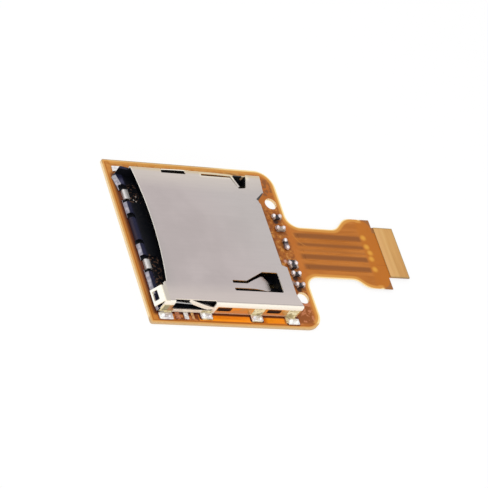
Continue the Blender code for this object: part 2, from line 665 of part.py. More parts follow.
def make_switch_blades():
    """The card detect blade at the rear and the write protect blade beside the card."""
    half = CONTACT_SHEET / 2
    tail = BOARD + FIT_GAP + half
    seat = BOARD + CONTACT_SEAT_HEIGHT
    touch = BOARD + CONTACT_TOUCH_HEIGHT
    low = BLADE_Y - BLADE_WIDTH / 2
    high = BLADE_Y + BLADE_WIDTH / 2
    detect = [
        (HOUSING_REAR_X + CONTACT_TAIL_LENGTH, tail),
        (HOUSING_REAR_X + CONTACT_JOG_SETBACK + CONTACT_JOG, tail),
        (HOUSING_REAR_X + CONTACT_JOG_SETBACK, seat),
        (REAR_WALL_X - CONTACT_JOG_SETBACK, seat),
        (DETECT_TOUCH_X, touch),
        (DETECT_TOUCH_X - BLADE_NOSE, touch - CONTACT_NOSE_DROP),
    ]
    protect = [
        (PROTECT_FOOT_X, tail),
        (PROTECT_FOOT_X - PROTECT_FOOT_LENGTH, tail),
        (PROTECT_FOOT_X - PROTECT_FOOT_LENGTH - CONTACT_JOG, seat),
        (PROTECT_TOUCH_X, touch),
        (PROTECT_TOUCH_X - BLADE_NOSE, touch - CONTACT_NOSE_DROP),
    ]
    for name, corners in (("detect_switch_blade", detect), ("protect_switch_blade", protect)):
        path = rounded_path(corners, CONTACT_SHEET)
        strip(name, path, low, high, CONTACT_SHEET, group=PARTS, finish=CONTACT_METAL)


def make_front_tabs():
    """Two metal tabs in the wide gaps of the front lip, with their front legs on the film."""
    half = TAB_SHEET / 2
    front = TAB_FRONT_X + half
    top = BOARD + TAB_HEIGHT - half
    path = rounded_path(
        [
            (front, BOARD + FIT_GAP),
            (front, top),
            (front + TAB_LENGTH, top),
            (front + TAB_LENGTH, BOARD + LIP_GAP_FLOOR + FIT_GAP),
        ],
        TAB_SHEET,
    )
    for name, inset in zip(("far_front_tab", "near_front_tab"), TAB_INSETS):
        y = CARD_FAR_Y - inset
        strip(name, path, y - TAB_WIDTH / 2, y + TAB_WIDTH / 2, TAB_SHEET, group=PARTS, finish=STEEL)


def latch_outline(x, margin):
    """The trapezoid of a latch window in the cover's side, or of the bump that fills it."""
    half = LATCH_LENGTH / 2 - margin
    low = BOARD + LATCH_BOTTOM + margin
    high = BOARD + LATCH_BOTTOM + LATCH_HEIGHT - margin
    foot = half - LATCH_TAPER
    return [(x - foot, low), (x + foot, low), (x + half, high), (x - half, high)]


def housing_block():
    """The solid moulding before it is hollowed, wider in front of the cover."""
    step = COVER_FRONT_X - HOUSING_GAP
    outline = rounded(
        [
            (HOUSING_FRONT_X + FAR_POST_CHAMFER, COVER_SIDE, 0),
            (HOUSING_FRONT_X, COVER_SIDE - FAR_POST_CHAMFER, 0),
            (HOUSING_FRONT_X, -COVER_SIDE, POST_CORNER),
            (EAR_FOLD_X - HOUSING_GAP, -COVER_SIDE, 0),
            (EAR_FOLD_X - HOUSING_GAP, -HOUSING_SIDE, 0),
            (HOUSING_REAR_X, -HOUSING_SIDE, 0),
            (HOUSING_REAR_X, HOUSING_SIDE, 0),
            (step, HOUSING_SIDE, 0),
            (step, COVER_SIDE, 0),
        ],
        SMALL_CORNER_STEPS,
    )
    return prism("base_housing", [outline], HOUSING_BOTTOM, HOUSING_TOP, group=PARTS, finish=PLASTIC)


def lip_gap(k):
    """The near and far ends of one gap in the front lip."""
    far = CARD_FAR_Y - LIP_GAP_INSETS[k]
    return far - LIP_GAP_WIDTHS[k], far


def make_housing():
    housing = housing_block()
    front = HOUSING_FRONT_X - CUT_PAST
    above = COVER_TOP + CUT_PAST
    below = -CUT_PAST
    outside = COVER_SIDE + CUT_PAST
    far_wall = CARD_FAR_Y - CUT_PAST
    lip_rear = HOUSING_FRONT_X + LIP_LENGTH
    cover_front = COVER_FRONT_X - HOUSING_GAP
    lip_top = BOARD + LIP_HEIGHT
    post_front = cover_front - NEAR_POST_LENGTH
    lip_middle_x = HOUSING_FRONT_X + LIP_MIDDLE_SETBACK
    seat_top = BOARD + CONTACT_SEAT_HEIGHT + CONTACT_SHEET / 2 + FIT_GAP
    toe_room = TAB_FRONT_X + TAB_SHEET + FIT_GAP
    cut(
        housing,
        box("card_path", (lip_rear, CARD_NEAR_Y, FLOOR), (REAR_WALL_X, CARD_FAR_Y, above)),
        box("mouth", (front, CARD_NEAR_Y, lip_top), (lip_rear + CUT_PAST, CARD_FAR_Y, above)),
        box("far_post_top", (front, far_wall, BOARD + FAR_POST_HEIGHT), (cover_front, outside, above)),
        box("near_post_front", (front, -outside, lip_top), (post_front, CARD_NEAR_Y + CUT_PAST, above)),
        box("pin_bay", (cover_front, -outside, FLOOR), (SLIDER_FRONT_X, GUIDE_RIB_Y, above)),
        box(
            "slider_bay",
            (SLIDER_FRONT_X - SLIDER_CLEARANCE, -HOUSING_SIDE + NEAR_RAIL_THICKNESS, FLOOR),
            (REAR_WALL_X, CARD_NEAR_Y + CUT_PAST, above),
        ),
        box(
            "near_rail_top",
            (NEAR_WINDOW_REAR_X, -outside, BOARD + NEAR_RAIL_HEIGHT),
            (REAR_WALL_X, CARD_NEAR_Y, above),
        ),
        box(
            "far_window_bay",
            (FAR_WINDOW_FRONT_X, far_wall, BOARD + SIDE_WINDOW_SILL),
            (FAR_WINDOW_REAR_X, outside, above),
        ),
        box("arm_bay", (ARM_ROOT_X, far_wall, BOARD + ARM_BAY_BOTTOM), (REAR_WALL_X, outside, above)),
        box("near_window_bay", (cover_front, -outside, FLOOR), (NEAR_WINDOW_REAR_X, GUIDE_RIB_Y, above)),
        box("lip_middle", (front, lip_gap(2)[1], below), (lip_middle_x, lip_gap(1)[0], above)),
    )
    lip_front = HOUSING_FRONT_X
    bevel = [
        (lip_front - CUT_PAST, lip_top - LIP_CHAMFER),
        (lip_front, lip_top - LIP_CHAMFER),
        (lip_front + LIP_CHAMFER, lip_top),
        (lip_front + LIP_CHAMFER, lip_top + CUT_PAST),
        (lip_front - CUT_PAST, lip_top + CUT_PAST),
    ]
    cut(housing, prism("lip_bevel", [bevel], CARD_NEAR_Y + POST_CORNER, CARD_FAR_Y - POST_CORNER, "XZ"))
    for k in range(len(LIP_GAP_INSETS)):
        near, far = lip_gap(k)
        reach = LIP_WINDOW_LENGTH if k in TAB_GAPS else LIP_GAP_REACH
        low = (front, near, BOARD + LIP_GAP_FLOOR)
        cut(housing, box("lip_gap_%d" % (k + 1), low, (lip_rear + reach, far, above)))
    for k, inset in enumerate(TAB_INSETS):
        middle = CARD_FAR_Y - inset
        reach = TAB_WIDTH / 2 + FIT_GAP
        low = (front, middle - reach, below)
        cut(housing, box("toe_gap_%d" % (k + 1), low, (toe_room, middle + reach, above)))
    for k, y in enumerate(contact_places()):
        reach = CONTACT_WIDTH / 2 + CONTACT_SLOT_MARGIN
        low = (CONTACT_TIP_X - CONTACT_SLOT_FRONT, y - reach, below)
        high = (REAR_WALL_X, y + reach, FLOOR + CUT_PAST)
        passage = CONTACT_WIDTH / 2 + FIT_GAP
        cut(
            housing,
            box("contact_slot_%d" % (k + 1), low, high),
            box(
                "contact_passage_%d" % (k + 1),
                (REAR_WALL_X - CONTACT_SLOT_MARGIN, y - passage, below),
                (HOUSING_REAR_X + CUT_PAST, y + passage, seat_top),
            ),
        )
    reach = BLADE_WIDTH / 2 + CONTACT_SLOT_MARGIN
    low = BLADE_Y - reach
    high = BLADE_Y + reach
    passage = BLADE_WIDTH / 2 + FIT_GAP
    cut(
        housing,
        box("detect_slot", (DETECT_TOUCH_X - BLADE_SLOT_FRONT, low, below), (REAR_WALL_X, high, above)),
        box(
            "detect_passage",
            (REAR_WALL_X - CONTACT_SLOT_MARGIN, BLADE_Y - passage, below),
            (HOUSING_REAR_X + CUT_PAST, BLADE_Y + passage, seat_top),
        ),
        box(
            "protect_slot",
            (PROTECT_TOUCH_X - BLADE_SLOT_FRONT, low, below),
            (PROTECT_FOOT_X + BLADE_SLOT_REAR, high, above),
        ),
    )
    for k, (side, x) in enumerate(latch_places()):
        root = HOUSING_SIDE - NEAR_RAIL_THICKNESS / 2
        low, high = sorted((side * root, side * (HOUSING_SIDE + LATCH_PROUD)))
        join(housing, prism("latch_%d" % (k + 1), [latch_outline(x, HOUSING_GAP)], low, high, plane="XZ"))
    for side in (-1, 1):
        edge = HOUSING_SIDE - HOUSING_TOP_CHAMFER
        high = HOUSING_TOP + CUT_PAST
        corner = [(edge - CUT_PAST, high), (outside, high), (outside, edge + HOUSING_TOP - outside)]
        outline = [(side * y, z) for y, z in corner]
        cut(housing, prism("top_chamfer_%d" % side, [outline], front, HOUSING_REAR_X + CUT_PAST, "YZ"))
    pivot = (PIN_PIVOT_X, GUIDE_RIB_Y - CUT_PAST, CAM_MIDDLE_Z)
    pivot_end = (PIN_PIVOT_X, GUIDE_RIB_Y + PIN_HOLE_DEPTH, CAM_MIDDLE_Z)
    cut(housing, rod("pin_pivot_hole", pivot, pivot_end, PIN_DIAMETER / 2 + FIT_GAP))
    post = (REAR_WALL_X - SPRING_POST_LENGTH, SPRING_Y, SPRING_Z)
    post_root = (REAR_WALL_X + HOUSING_REAR_WALL / 2, SPRING_Y, SPRING_Z)
    join(housing, rod("rear_spring_post", post, post_root, SPRING_POST / 2, POST_SEGMENTS))
    return housing


def plan_leaf(name, points, widths, sheet=SPRING_LEAF_SHEET):
    """A leaf along points, seen from above as wide as given at each, and thickened."""
    rungs = []
    for i, point in enumerate(points):
        before = Vector(points[max(i - 1, 0)])
        after = Vector(points[min(i + 1, len(points) - 1)])
        along = (after - before).to_2d().normalized()
        aside = Vector((-along.y, along.x, 0)) * widths[i] / 2
        rungs.append((Vector(point) - aside, Vector(point) + aside))
    return ribbon(name, rungs, sheet)


def cover_sheet():
    """The top and both sides, folded round two long bends."""
    middle = COVER_SIDE - COVER_SHEET / 2
    top = COVER_TOP - COVER_SHEET / 2
    skirt = BOARD + COVER_SKIRT_GAP
    radius = COVER_BEND - COVER_SHEET / 2
    path = rounded_path([(-middle, skirt), (-middle, top), (middle, top), (middle, skirt)], radius)
    return strip("cover", path, EAR_FOLD_X, COVER_REAR_X, COVER_SHEET, "YZ", group=PARTS, finish=STEEL)


def front_cut():
    """What is cut away in front of the cover's hollow front edge, beside the ear and its lug."""
    outside = COVER_SIDE + CUT_PAST
    half = (COVER_SIDE - LUG_FAR_Y) / 2
    middle = (COVER_SIDE + LUG_FAR_Y) / 2
    edge = [(COVER_FRONT_X, outside)]
    for k in range(COVER_ARC_STEPS + 1):
        across = 1 - 2 * k / COVER_ARC_STEPS
        edge.append((COVER_FRONT_X + COVER_ARC_DEPTH * (1 - across * across), middle + half * across))
    edge.append((LUG_FRONT_X + LUG_CORNER, LUG_FAR_Y))
    edge.append((LUG_FRONT_X, LUG_FAR_Y - LUG_CORNER))
    edge.append((LUG_FRONT_X, EAR_FAR_Y))
    front = EAR_FOLD_X - CUT_PAST
    return prism("front_cut", [edge + [(front, EAR_FAR_Y), (front, outside)]], 0, COVER_TOP + CUT_PAST)


def rear_cut():
    """What is cut away behind the cover's stepped rear edge."""
    outside = COVER_SIDE + CUT_PAST
    middle_x = COVER_REAR_X - COVER_REAR_MIDDLE_SETBACK
    near_x = COVER_REAR_X - COVER_REAR_NEAR_SETBACK
    slit_x = middle_x - REAR_SLIT_DEPTH
    step_far = COVER_SIDE - REAR_STEP_FAR_INSET
    step_near = -COVER_SIDE + REAR_STEP_NEAR_INSET
    slit_y = step_far - REAR_STEP_SLANT
    end = COVER_REAR_X + CUT_PAST
    outline = [
        (COVER_REAR_X, COVER_INNER),
        (COVER_REAR_X - REAR_FAR_SLANT, step_far),
        (slit_x, slit_y),
        (slit_x, slit_y - REAR_SLIT_WIDTH),
        (middle_x, slit_y - 2 * REAR_SLIT_WIDTH),
        (middle_x, step_near),
        (near_x, step_near - REAR_SLIT_WIDTH),
        (near_x, CARD_NEAR_Y),
        (COVER_REAR_X, -COVER_INNER),
        (COVER_REAR_X, -outside),
        (end, -outside),
        (end, COVER_INNER),
    ]
    return prism("rear_cut", [outline], 0, COVER_TOP + CUT_PAST)


def cut_tongue(cover):
    """The big tongue over the slider: a hole round it, and the tongue bent down towards its tip."""
    far_neck = TONGUE_NEAR_Y + TONGUE_NECK_WIDTH
    far_head = TONGUE_NEAR_Y + TONGUE_HEAD_WIDTH
    neck_x = TONGUE_ROOT_X + TONGUE_NECK_LENGTH
    flare_x = neck_x + TONGUE_FLARE_LENGTH
    tip_x = flare_x + TONGUE_HEAD_LENGTH
    hole = rounded(
        [
            (TONGUE_ROOT_X, far_neck + TONGUE_SLOT, TONGUE_SLOT / 3),
            (neck_x, far_neck + TONGUE_SLOT, TONGUE_SLOT),
            (flare_x, far_head + TONGUE_SLOT, TONGUE_SLOT),
            (tip_x + TONGUE_END_GAP, far_head + TONGUE_SLOT, TONGUE_SLOT / 3),
            (tip_x + TONGUE_END_GAP, TONGUE_NEAR_Y - TONGUE_SLOT, TONGUE_SLOT / 2),
            (TONGUE_ROOT_X, TONGUE_NEAR_Y - TONGUE_SLOT, TONGUE_SLOT / 3),
        ],
        SMALL_CORNER_STEPS,
    )
    cut(cover, prism("tongue_hole", [hole], COVER_CEILING - COVER_BEND, COVER_TOP + CUT_PAST))
    level = COVER_TOP - COVER_SHEET / 2
    length = tip_x - neck_x
    rungs = []
    for x, far in ((TONGUE_ROOT_X - TONGUE_SLOT, far_neck), (neck_x, far_neck)):
        rungs.append(((x, TONGUE_NEAR_Y, level), (x, far, level)))
    for k in range(1, TONGUE_STEPS + 1):
        s = k / TONGUE_STEPS
        x = neck_x + s * length
        spread = min(1, (x - neck_x) / TONGUE_FLARE_LENGTH)
        far = far_neck + (far_head - far_neck) * spread
        near = TONGUE_NEAR_Y
        past = max(0, (x - flare_x) / TONGUE_HEAD_LENGTH)
        far -= TONGUE_FAR_TAPER * past * past
        near += TONGUE_NEAR_TAPER * past * past
        z = level - TONGUE_DROP * s * s
        rungs.append(((x, near, z), (x, far, z)))
    join(cover, ribbon("tongue", rungs, SPRING_LEAF_SHEET))


def cut_arm(cover):
    """The spring arm along the far bend, free on both sides, with its tip turned inwards."""
    slot_y = ARM_NEAR_Y - ARM_SLOT
    turn_x = ARM_TURN_START_X
    outside = COVER_SIDE + CUT_PAST
    hole = [
        (ARM_ROOT_X, slot_y),
        (turn_x, slot_y),
        (turn_x + ARM_TURN_X, slot_y - ARM_TURN_Y),
        (turn_x + ARM_TURN_X + ARM_HOLE_FLAT, slot_y - ARM_TURN_Y),
        (ARM_END_X, COVER_SIDE),
        (ARM_END_X, outside),
        (ARM_ROOT_X, outside),
    ]
    cut(cover, prism("arm_hole", [hole], BOARD + ARM_NOTCH_BOTTOM, COVER_TOP + CUT_PAST))
    level = COVER_TOP - COVER_SHEET / 2
    middle = ARM_NEAR_Y + ARM_WIDTH / 2
    knee_x = turn_x + ARM_SLOT
    points = [
        (ARM_ROOT_X - ARM_SLOT, middle, level),
        ((ARM_ROOT_X + turn_x) / 2, middle, level),
        (knee_x, middle, level - ARM_DROP / 2),
        (knee_x + ARM_TURN_X, middle - ARM_TURN_Y, level - ARM_DROP),
    ]
    join(cover, plan_leaf("arm", points, [ARM_WIDTH] * len(points)))


def cut_side_window(cover, side, front_x, rear_x, depth):
    """A window in one side that reaches into the top."""
    low, high = sorted((side * (COVER_SIDE - depth), side * (COVER_SIDE + CUT_PAST)))
    sill = BOARD + SIDE_WINDOW_SILL
    cut(cover, box("window_%d" % side, (front_x, low, sill), (rear_x, high, COVER_TOP + CUT_PAST)))


def add_side_leaf(cover, side, root_x, length, bottom, height, climb, bend):
    """A leaf cut free in a side window, which climbs and bends inwards towards its front end."""
    middle = side * (COVER_SIDE - COVER_SHEET / 2)
    rungs = []
    for k in range(-1, LEAF_STEPS + 1):
        s = k / LEAF_STEPS
        past = max(0, s)
        x = root_x - s * length
        y = middle - side * bend * past * past
        z = BOARD + bottom + climb * past
        rungs.append(((x, y, z), (x, y, z + height)))
    join(cover, ribbon("leaf_%d" % side, rungs, SPRING_LEAF_SHEET))


def foot_places():
    """The side and the middle of each foot, the near ones first."""
    places = []
    for side, setbacks in ((-1, NEAR_FOOT_SETBACKS), (1, FAR_FOOT_SETBACKS)):
        places += [(side, COVER_FRONT_X + setback) for setback in setbacks]
        places += [(side, COVER_REAR_X - setback) for setback in REAR_FOOT_SETBACKS]
    return places


def latch_places():
    """The side and the middle of each latch window."""
    rear = COVER_REAR_X - REAR_LATCH_SETBACK
    near = COVER_FRONT_X + NEAR_LATCH_SETBACK
    far = COVER_FRONT_X + FAR_LATCH_SETBACK
    return [(-1, near), (-1, rear), (1, far), (1, rear)]


def add_foot(cover, side, x, number):
    """A foot that comes down from the side and turns out onto the film."""
    width = FOOT_WIDTH
    middle = COVER_SIDE - COVER_SHEET / 2
    flat = BOARD + FIT_GAP + SPRING_LEAF_SHEET / 2
    path = [(middle, BOARD + FOOT_HEIGHT), (middle, flat), (middle + FOOT_LENGTH + COVER_SHEET / 2, flat)]
    path = [(side * y, z) for y, z in rounded_path(path, SPRING_LEAF_SHEET)]
    join(cover, strip("foot_%d" % number, path, x - width / 2, x + width / 2, SPRING_LEAF_SHEET, "YZ"))


def add_ear(cover):
    """The ear at the near front corner, folded down over the housing, with a window in it."""
    level = COVER_TOP - COVER_SHEET / 2
    path = rounded_path(
        [
            (EAR_FOLD_X + EAR_REACH / 2, level),
            (EAR_FOLD_X, level),
            (EAR_FOLD_X - EAR_RUN, level - EAR_DROP),
        ],
        COVER_BEND,
    )
    join(cover, strip("ear", path, EAR_NEAR_Y, EAR_FAR_Y, SPRING_LEAF_SHEET))
    middle = (EAR_NEAR_Y + EAR_FAR_Y) / 2
    half = EAR_WINDOW_LENGTH / 2
    drop = level - EAR_DROP / 2
    low = (EAR_FOLD_X - EAR_RUN - CUT_PAST, middle - half, drop - EAR_WINDOW_HEIGHT / 2)
    high = (EAR_FOLD_X, middle + half, drop + EAR_WINDOW_HEIGHT / 2)
    cut(cover, box("ear_window", low, high))


def make_cover():
    cover = cover_sheet()
    cut(cover, front_cut(), rear_cut())
    cut_tongue(cover)
    cut_arm(cover)
    cut_side_window(cover, -1, NEAR_WINDOW_FRONT_X, NEAR_WINDOW_REAR_X, NEAR_WINDOW_DEPTH)
    cut_side_window(cover, 1, FAR_WINDOW_FRONT_X, FAR_WINDOW_REAR_X, FAR_WINDOW_DEPTH)
    near_leaf = (NEAR_LEAF_LENGTH, NEAR_LEAF_BOTTOM, NEAR_LEAF_HEIGHT, NEAR_LEAF_CLIMB, NEAR_LEAF_BEND)
    far_leaf = (FAR_LEAF_LENGTH, FAR_LEAF_BOTTOM, FAR_LEAF_HEIGHT, FAR_LEAF_CLIMB, FAR_LEAF_BEND)
    add_side_leaf(cover, -1, NEAR_WINDOW_REAR_X, *near_leaf)
    add_side_leaf(cover, 1, FAR_WINDOW_REAR_X, *far_leaf)
    add_ear(cover)
    outer = COVER_SIDE + CUT_PAST
    inner = COVER_INNER - CUT_PAST
    for k, (side, x) in enumerate(latch_places()):
        low, high = sorted((side * inner, side * outer))
        cut(cover, prism("latch_window_%d" % (k + 1), [latch_outline(x, 0)], low, high, plane="XZ"))
    for k, (side, x) in enumerate(foot_places()):
        add_foot(cover, side, x, k + 1)
    return cover


def cam_track():
    """The heart-shaped loop: two lanes joined at both ends round an island with a notch."""
    half = CAM_LANE / 2
    front = PIN_TIP_X - SLIDER_TRAVEL - half
    rear = PIN_TIP_X + half
    low = PIN_LOW_Z - half
    high = PIN_LOW_Z + PIN_SWING + half
    outer = rounded([(front, low, half), (rear, low, half), (rear, high, half), (front, high, half)])
    lock = PIN_TIP_X - CAM_LOCK_TRAVEL + half
    tall = PIN_SWING / 2 - half
    island = [
        (lock, CAM_MIDDLE_Z),
        (lock - half, CAM_MIDDLE_Z + tall),
        (rear - 3 * half, CAM_MIDDLE_Z + tall / 2),
        (rear - 3 * half, CAM_MIDDLE_Z - tall / 2),
        (lock - half, CAM_MIDDLE_Z - tall),
    ]
    track_face = CAM_FACE_Y - CAM_RECESS / 2
    return prism("cam_track", [outer, island], track_face, CAM_FACE_Y + CAM_TRACK_DEPTH, "XZ")


def make_slider():
    """The eject slider, with its nose that meets the card's cut corner and its spring channel."""
    low = (SLIDER_FRONT_X, SLIDER_NEAR_Y, SLIDER_BOTTOM)
    slider = box("eject_slider", low, (SLIDER_REAR_X, SLIDER_FAR_Y, SLIDER_TOP), PARTS, SLIDER_PLASTIC)
    reach = SLIDER_FAR_Y + NOSE_REACH
    nose = [
        (SLIDER_REAR_X, SLIDER_FAR_Y - SLIDER_WEB),
        (SLIDER_REAR_X, reach),
        (SLIDER_REAR_X - NOSE_FLAT, reach),
        (SLIDER_REAR_X - NOSE_FLAT - NOSE_REACH, SLIDER_FAR_Y),
        (SLIDER_REAR_X - NOSE_FLAT - NOSE_REACH, SLIDER_FAR_Y - SLIDER_WEB),
    ]
    recess = (SLIDER_FRONT_X - CUT_PAST, SLIDER_NEAR_Y - CUT_PAST, 0)
    channel = (SPRING_SEAT_X, SLIDER_NEAR_Y - CUT_PAST, SLIDER_BOTTOM + SLIDER_WEB)
    channel_far = SPRING_Y + SPRING_DIAMETER / 2 + SLIDER_CLEARANCE
    cut(
        slider,
        box("cam_recess", recess, (CAM_REAR_X, CAM_FACE_Y, COVER_TOP)),
        cam_track(),
        box("spring_channel", channel, (SLIDER_REAR_X + CUT_PAST, channel_far, COVER_TOP)),
    )
    join(slider, prism("slider_nose", [nose], SLIDER_BOTTOM, SLIDER_BOTTOM + NOSE_HEIGHT))
    post = (SPRING_SEAT_X - SPRING_SEAT_WALL / 2, SPRING_Y, SPRING_Z)
    end = (SPRING_SEAT_X + SPRING_POST_LENGTH, SPRING_Y, SPRING_Z)
    join(slider, rod("slider_spring_post", post, end, SPRING_POST / 2, POST_SEGMENTS))
    return slider


def make_spring():
    """The coil between the slider's seat and the rear wall."""
    radius = (SPRING_DIAMETER - SPRING_WIRE) / 2
    start = SPRING_SEAT_X + FIT_GAP + SPRING_WIRE / 2
    end = REAR_WALL_X - FIT_GAP - SPRING_WIRE / 2
    count = SPRING_TURNS * SPRING_TURN_STEPS
    points = []
    for k in range(count + 1):
        turn = 2 * math.pi * k / SPRING_TURN_STEPS
        s = k / count
        y = SPRING_Y + radius * math.cos(turn)
        z = SPRING_Z + radius * math.sin(turn)
        points.append((start + s * (end - start), y, z))
    return wire("eject_spring", points, SPRING_WIRE / 2, finish=SPRING_STEEL)


def make_follower():
    """The cam follower: a wire that turns in the pin rib and reaches into the track."""
    tip_y = CAM_FACE_Y + CAM_TRACK_DEPTH - SLIDER_CLEARANCE
    pivot_y = GUIDE_RIB_Y + PIN_PIVOT_DEPTH
    inset = PIN_BEND * ARC_MIDDLE
    arm = [
        (PIN_PIVOT_X, pivot_y, CAM_MIDDLE_Z),
        (PIN_PIVOT_X, PIN_Y + PIN_BEND, CAM_MIDDLE_Z),
        (PIN_PIVOT_X + inset, PIN_Y + inset, CAM_MIDDLE_Z),
        (PIN_PIVOT_X + PIN_BEND, PIN_Y, CAM_MIDDLE_Z),
        (PIN_TIP_X - PIN_BEND, PIN_Y, PIN_LOW_Z),
        (PIN_TIP_X - inset, PIN_Y + inset, PIN_LOW_Z),
        (PIN_TIP_X, PIN_Y + PIN_BEND, PIN_LOW_Z),
        (PIN_TIP_X, tip_y, PIN_LOW_Z),
    ]
    points = [Vector(point) - Vector(arm[0]) for point in arm]
    pin = wire("cam_follower", points, PIN_DIAMETER / 2, finish=SPRING_STEEL)
    pin.location = arm[0]
    return pin


def make_chips():
    """Small parts on the film, each a body with a slightly larger cap at both ends."""
    bottom = BOARD + FIT_GAP
    for k, inset in enumerate(CHIP_INSETS):
        half = (WIDE_CHIP_WIDTH if k + 1 == WIDE_CHIP else CHIP_WIDTH) / 2
        long = CHIP_LENGTH / 2
        name = "chip_%d" % (k + 1)
        low = (-long + CHIP_CAP / 2, -half, CHIP_CAP_RISE)
        chip = box(name, low, (long - CHIP_CAP / 2, half, CHIP_HEIGHT), PARTS, CERAMIC)
        chip.location = (BOARD_REAR_X - CHIP_INSET, BOARD_NEAR_Y + inset, bottom)
        chip.rotation_euler.z = math.pi / 2 if k + 1 == TURNED_CHIP else 0
        for side in (-1, 1):
            low, high = sorted((side * long, side * (long - CHIP_CAP)))
            grow = CHIP_CAP_RISE
            cap = box(name + "_cap", (low, -half - grow, 0), (high, half + grow, CHIP_HEIGHT + grow))
            cap.parent = chip
            join(chip, cap)


def make_solder(side, x, number, front_reach):
    """A bead of solder round three sides of a foot, which may reach further in front."""
    inner = FOOT_WIDTH / 2 + FIT_GAP
    outer = inner + SOLDER_MARGIN
    start = COVER_SIDE + COVER_SHEET
    toe = COVER_SIDE + FOOT_LENGTH + FIT_GAP
    outline = [
        (x - outer - front_reach, start),
        (x - inner, start),
        (x - inner, toe),
        (x + inner, toe),
        (x + inner, start),
        (x + outer, start),
        (x + outer, toe + SOLDER_MARGIN),
        (x - outer - front_reach, toe + SOLDER_MARGIN),
    ]
    outline = [(px, side * py) for px, py in outline]
    low = BOARD + FIT_GAP
    return prism("solder_%d" % number, [outline], low, low + SOLDER_BEAD, group=PARTS, finish=SOLDER)


make_flex_circuit()
make_stiffeners()
make_housing()
make_cover()
make_contacts()
make_switch_blades()
make_front_tabs()
make_slider()
make_spring()
make_follower()
make_chips()
for number, (side, x) in enumerate(foot_places()):
    front_reach = FRONT_PAD_REACH if number == len(NEAR_FOOT_SETBACKS + REAR_FOOT_SETBACKS) else 0
    make_solder(side, x, number + 1, front_reach)
TOOLS.hide_render = True
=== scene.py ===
"""Looks of the memory card socket on its flexible circuit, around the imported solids."""

import math

import bpy
from mathutils import Matrix, Vector


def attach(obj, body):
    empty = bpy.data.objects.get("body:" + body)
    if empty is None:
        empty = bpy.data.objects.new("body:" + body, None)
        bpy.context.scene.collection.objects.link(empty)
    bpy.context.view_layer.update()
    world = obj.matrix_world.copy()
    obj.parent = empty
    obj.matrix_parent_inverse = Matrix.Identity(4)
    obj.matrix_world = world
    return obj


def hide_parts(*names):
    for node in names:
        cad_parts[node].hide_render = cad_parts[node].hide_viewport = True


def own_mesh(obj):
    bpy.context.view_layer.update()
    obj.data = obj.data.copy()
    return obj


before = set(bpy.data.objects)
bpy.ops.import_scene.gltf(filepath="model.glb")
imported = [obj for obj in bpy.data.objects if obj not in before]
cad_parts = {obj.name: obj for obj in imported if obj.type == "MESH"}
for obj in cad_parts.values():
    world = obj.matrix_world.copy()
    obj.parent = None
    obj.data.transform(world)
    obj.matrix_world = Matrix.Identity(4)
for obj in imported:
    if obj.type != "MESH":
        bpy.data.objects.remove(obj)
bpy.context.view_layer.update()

MM = 0.001

# Camera, at the angle of the photograph.
CAMERA_PLACE = (-241.54 * MM, -232.38 * MM, 309.67 * MM)
CAMERA_RIGHT = (0.8398, -0.2762, 0.4674)
CAMERA_UP = (-0.0515, 0.8165, 0.5750)
CAMERA_LENS = 200.51
CAMERA_SENSOR = 36.0

# Strength of the white that the camera and reflections see, and of the light on all else.
FLOOR_WHITE = 1.02
FLOOR_SHARE = 0.8
WORLD_SEEN = 1.0
WORLD_LIGHT = 0.78

# Where the lamps point, and how far under the part the floor lies.
LAMP_TARGET = (0.01, 0, 0)
FLOOR_DROP = 0.02 * MM

# Places in millimetres, as the patterns on the solids use them.
FILM_TOP = 0.51
COVER_SIDE = 13.75
LIP_X = -14.55
BOARD_X = (-16.05, 17.85)
BOARD_Y = (-15.9, 17.05)
TAIL_Y = (-5.15, 5.3)
HEAD_X = (30.25, 35.6)
HEAD_Y = (-6.8, 7.9)
TAIL_SPAN_X = (12.0, 38.0)
TAIL_ROOT_X = 15.5
TAIL_ROOT_RADIUS = 2.4
SHOULDER_END_X = 33.0
NEAR_SHOULDER_X = 28.6
FAR_SHOULDER_X = 27.65
SHOULDERS = (
    (NEAR_SHOULDER_X, TAIL_Y[0]),
    (HEAD_X[0], HEAD_Y[0]),
    (FAR_SHOULDER_X, TAIL_Y[1]),
    (HEAD_X[0], HEAD_Y[1]),
)
PLUG_X = (34.0, 40.0)
PLUG_Y = (-4.3, 6.3)
FRONT_CORNER = 0.4
REAR_CORNER = 3.2
HEAD_CORNER = 2.0
NEAR_FEET_X = (-12.8, -5.1, 4.65, 11.5)
FAR_FEET_X = (-11.6, -4.4, 4.65, 11.5)
NEAR_PADS = ((-13.05, -15.2), (-5.2, -14.85), (4.7, -14.95), (11.9, -15.3))
CHIP_X = 15.8
CHIPS_Y = (7.0, 4.55, 1.35, -2.85, -4.9, -7.2)
TURNED_CHIP = 2
CLEAN_CHIPS = (1, 2)
LATCHES_X = (-2.2, 7.6)

# Each track's middle in y, its width, and how dark its strip is.
TRACKS = (
    (3.62, 1.0, 1.0),
    (1.74, 0.62, 0.95),
    (0.5, 0.3, 0.4),
    (-0.82, 0.95, 1.0),
    (-2.93, 1.0, 1.0),
)
VIAS = ((33.06, 3.94), (33.1, 2.02), (33.39, 0.76), (33.23, -0.53), (33.16, -2.76))

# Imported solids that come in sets.
CONTACTS = ["contact_%d" % k for k in range(1, 10)]
BLADES = ["detect_switch_blade", "protect_switch_blade"]
TABS = ["far_front_tab", "near_front_tab"]


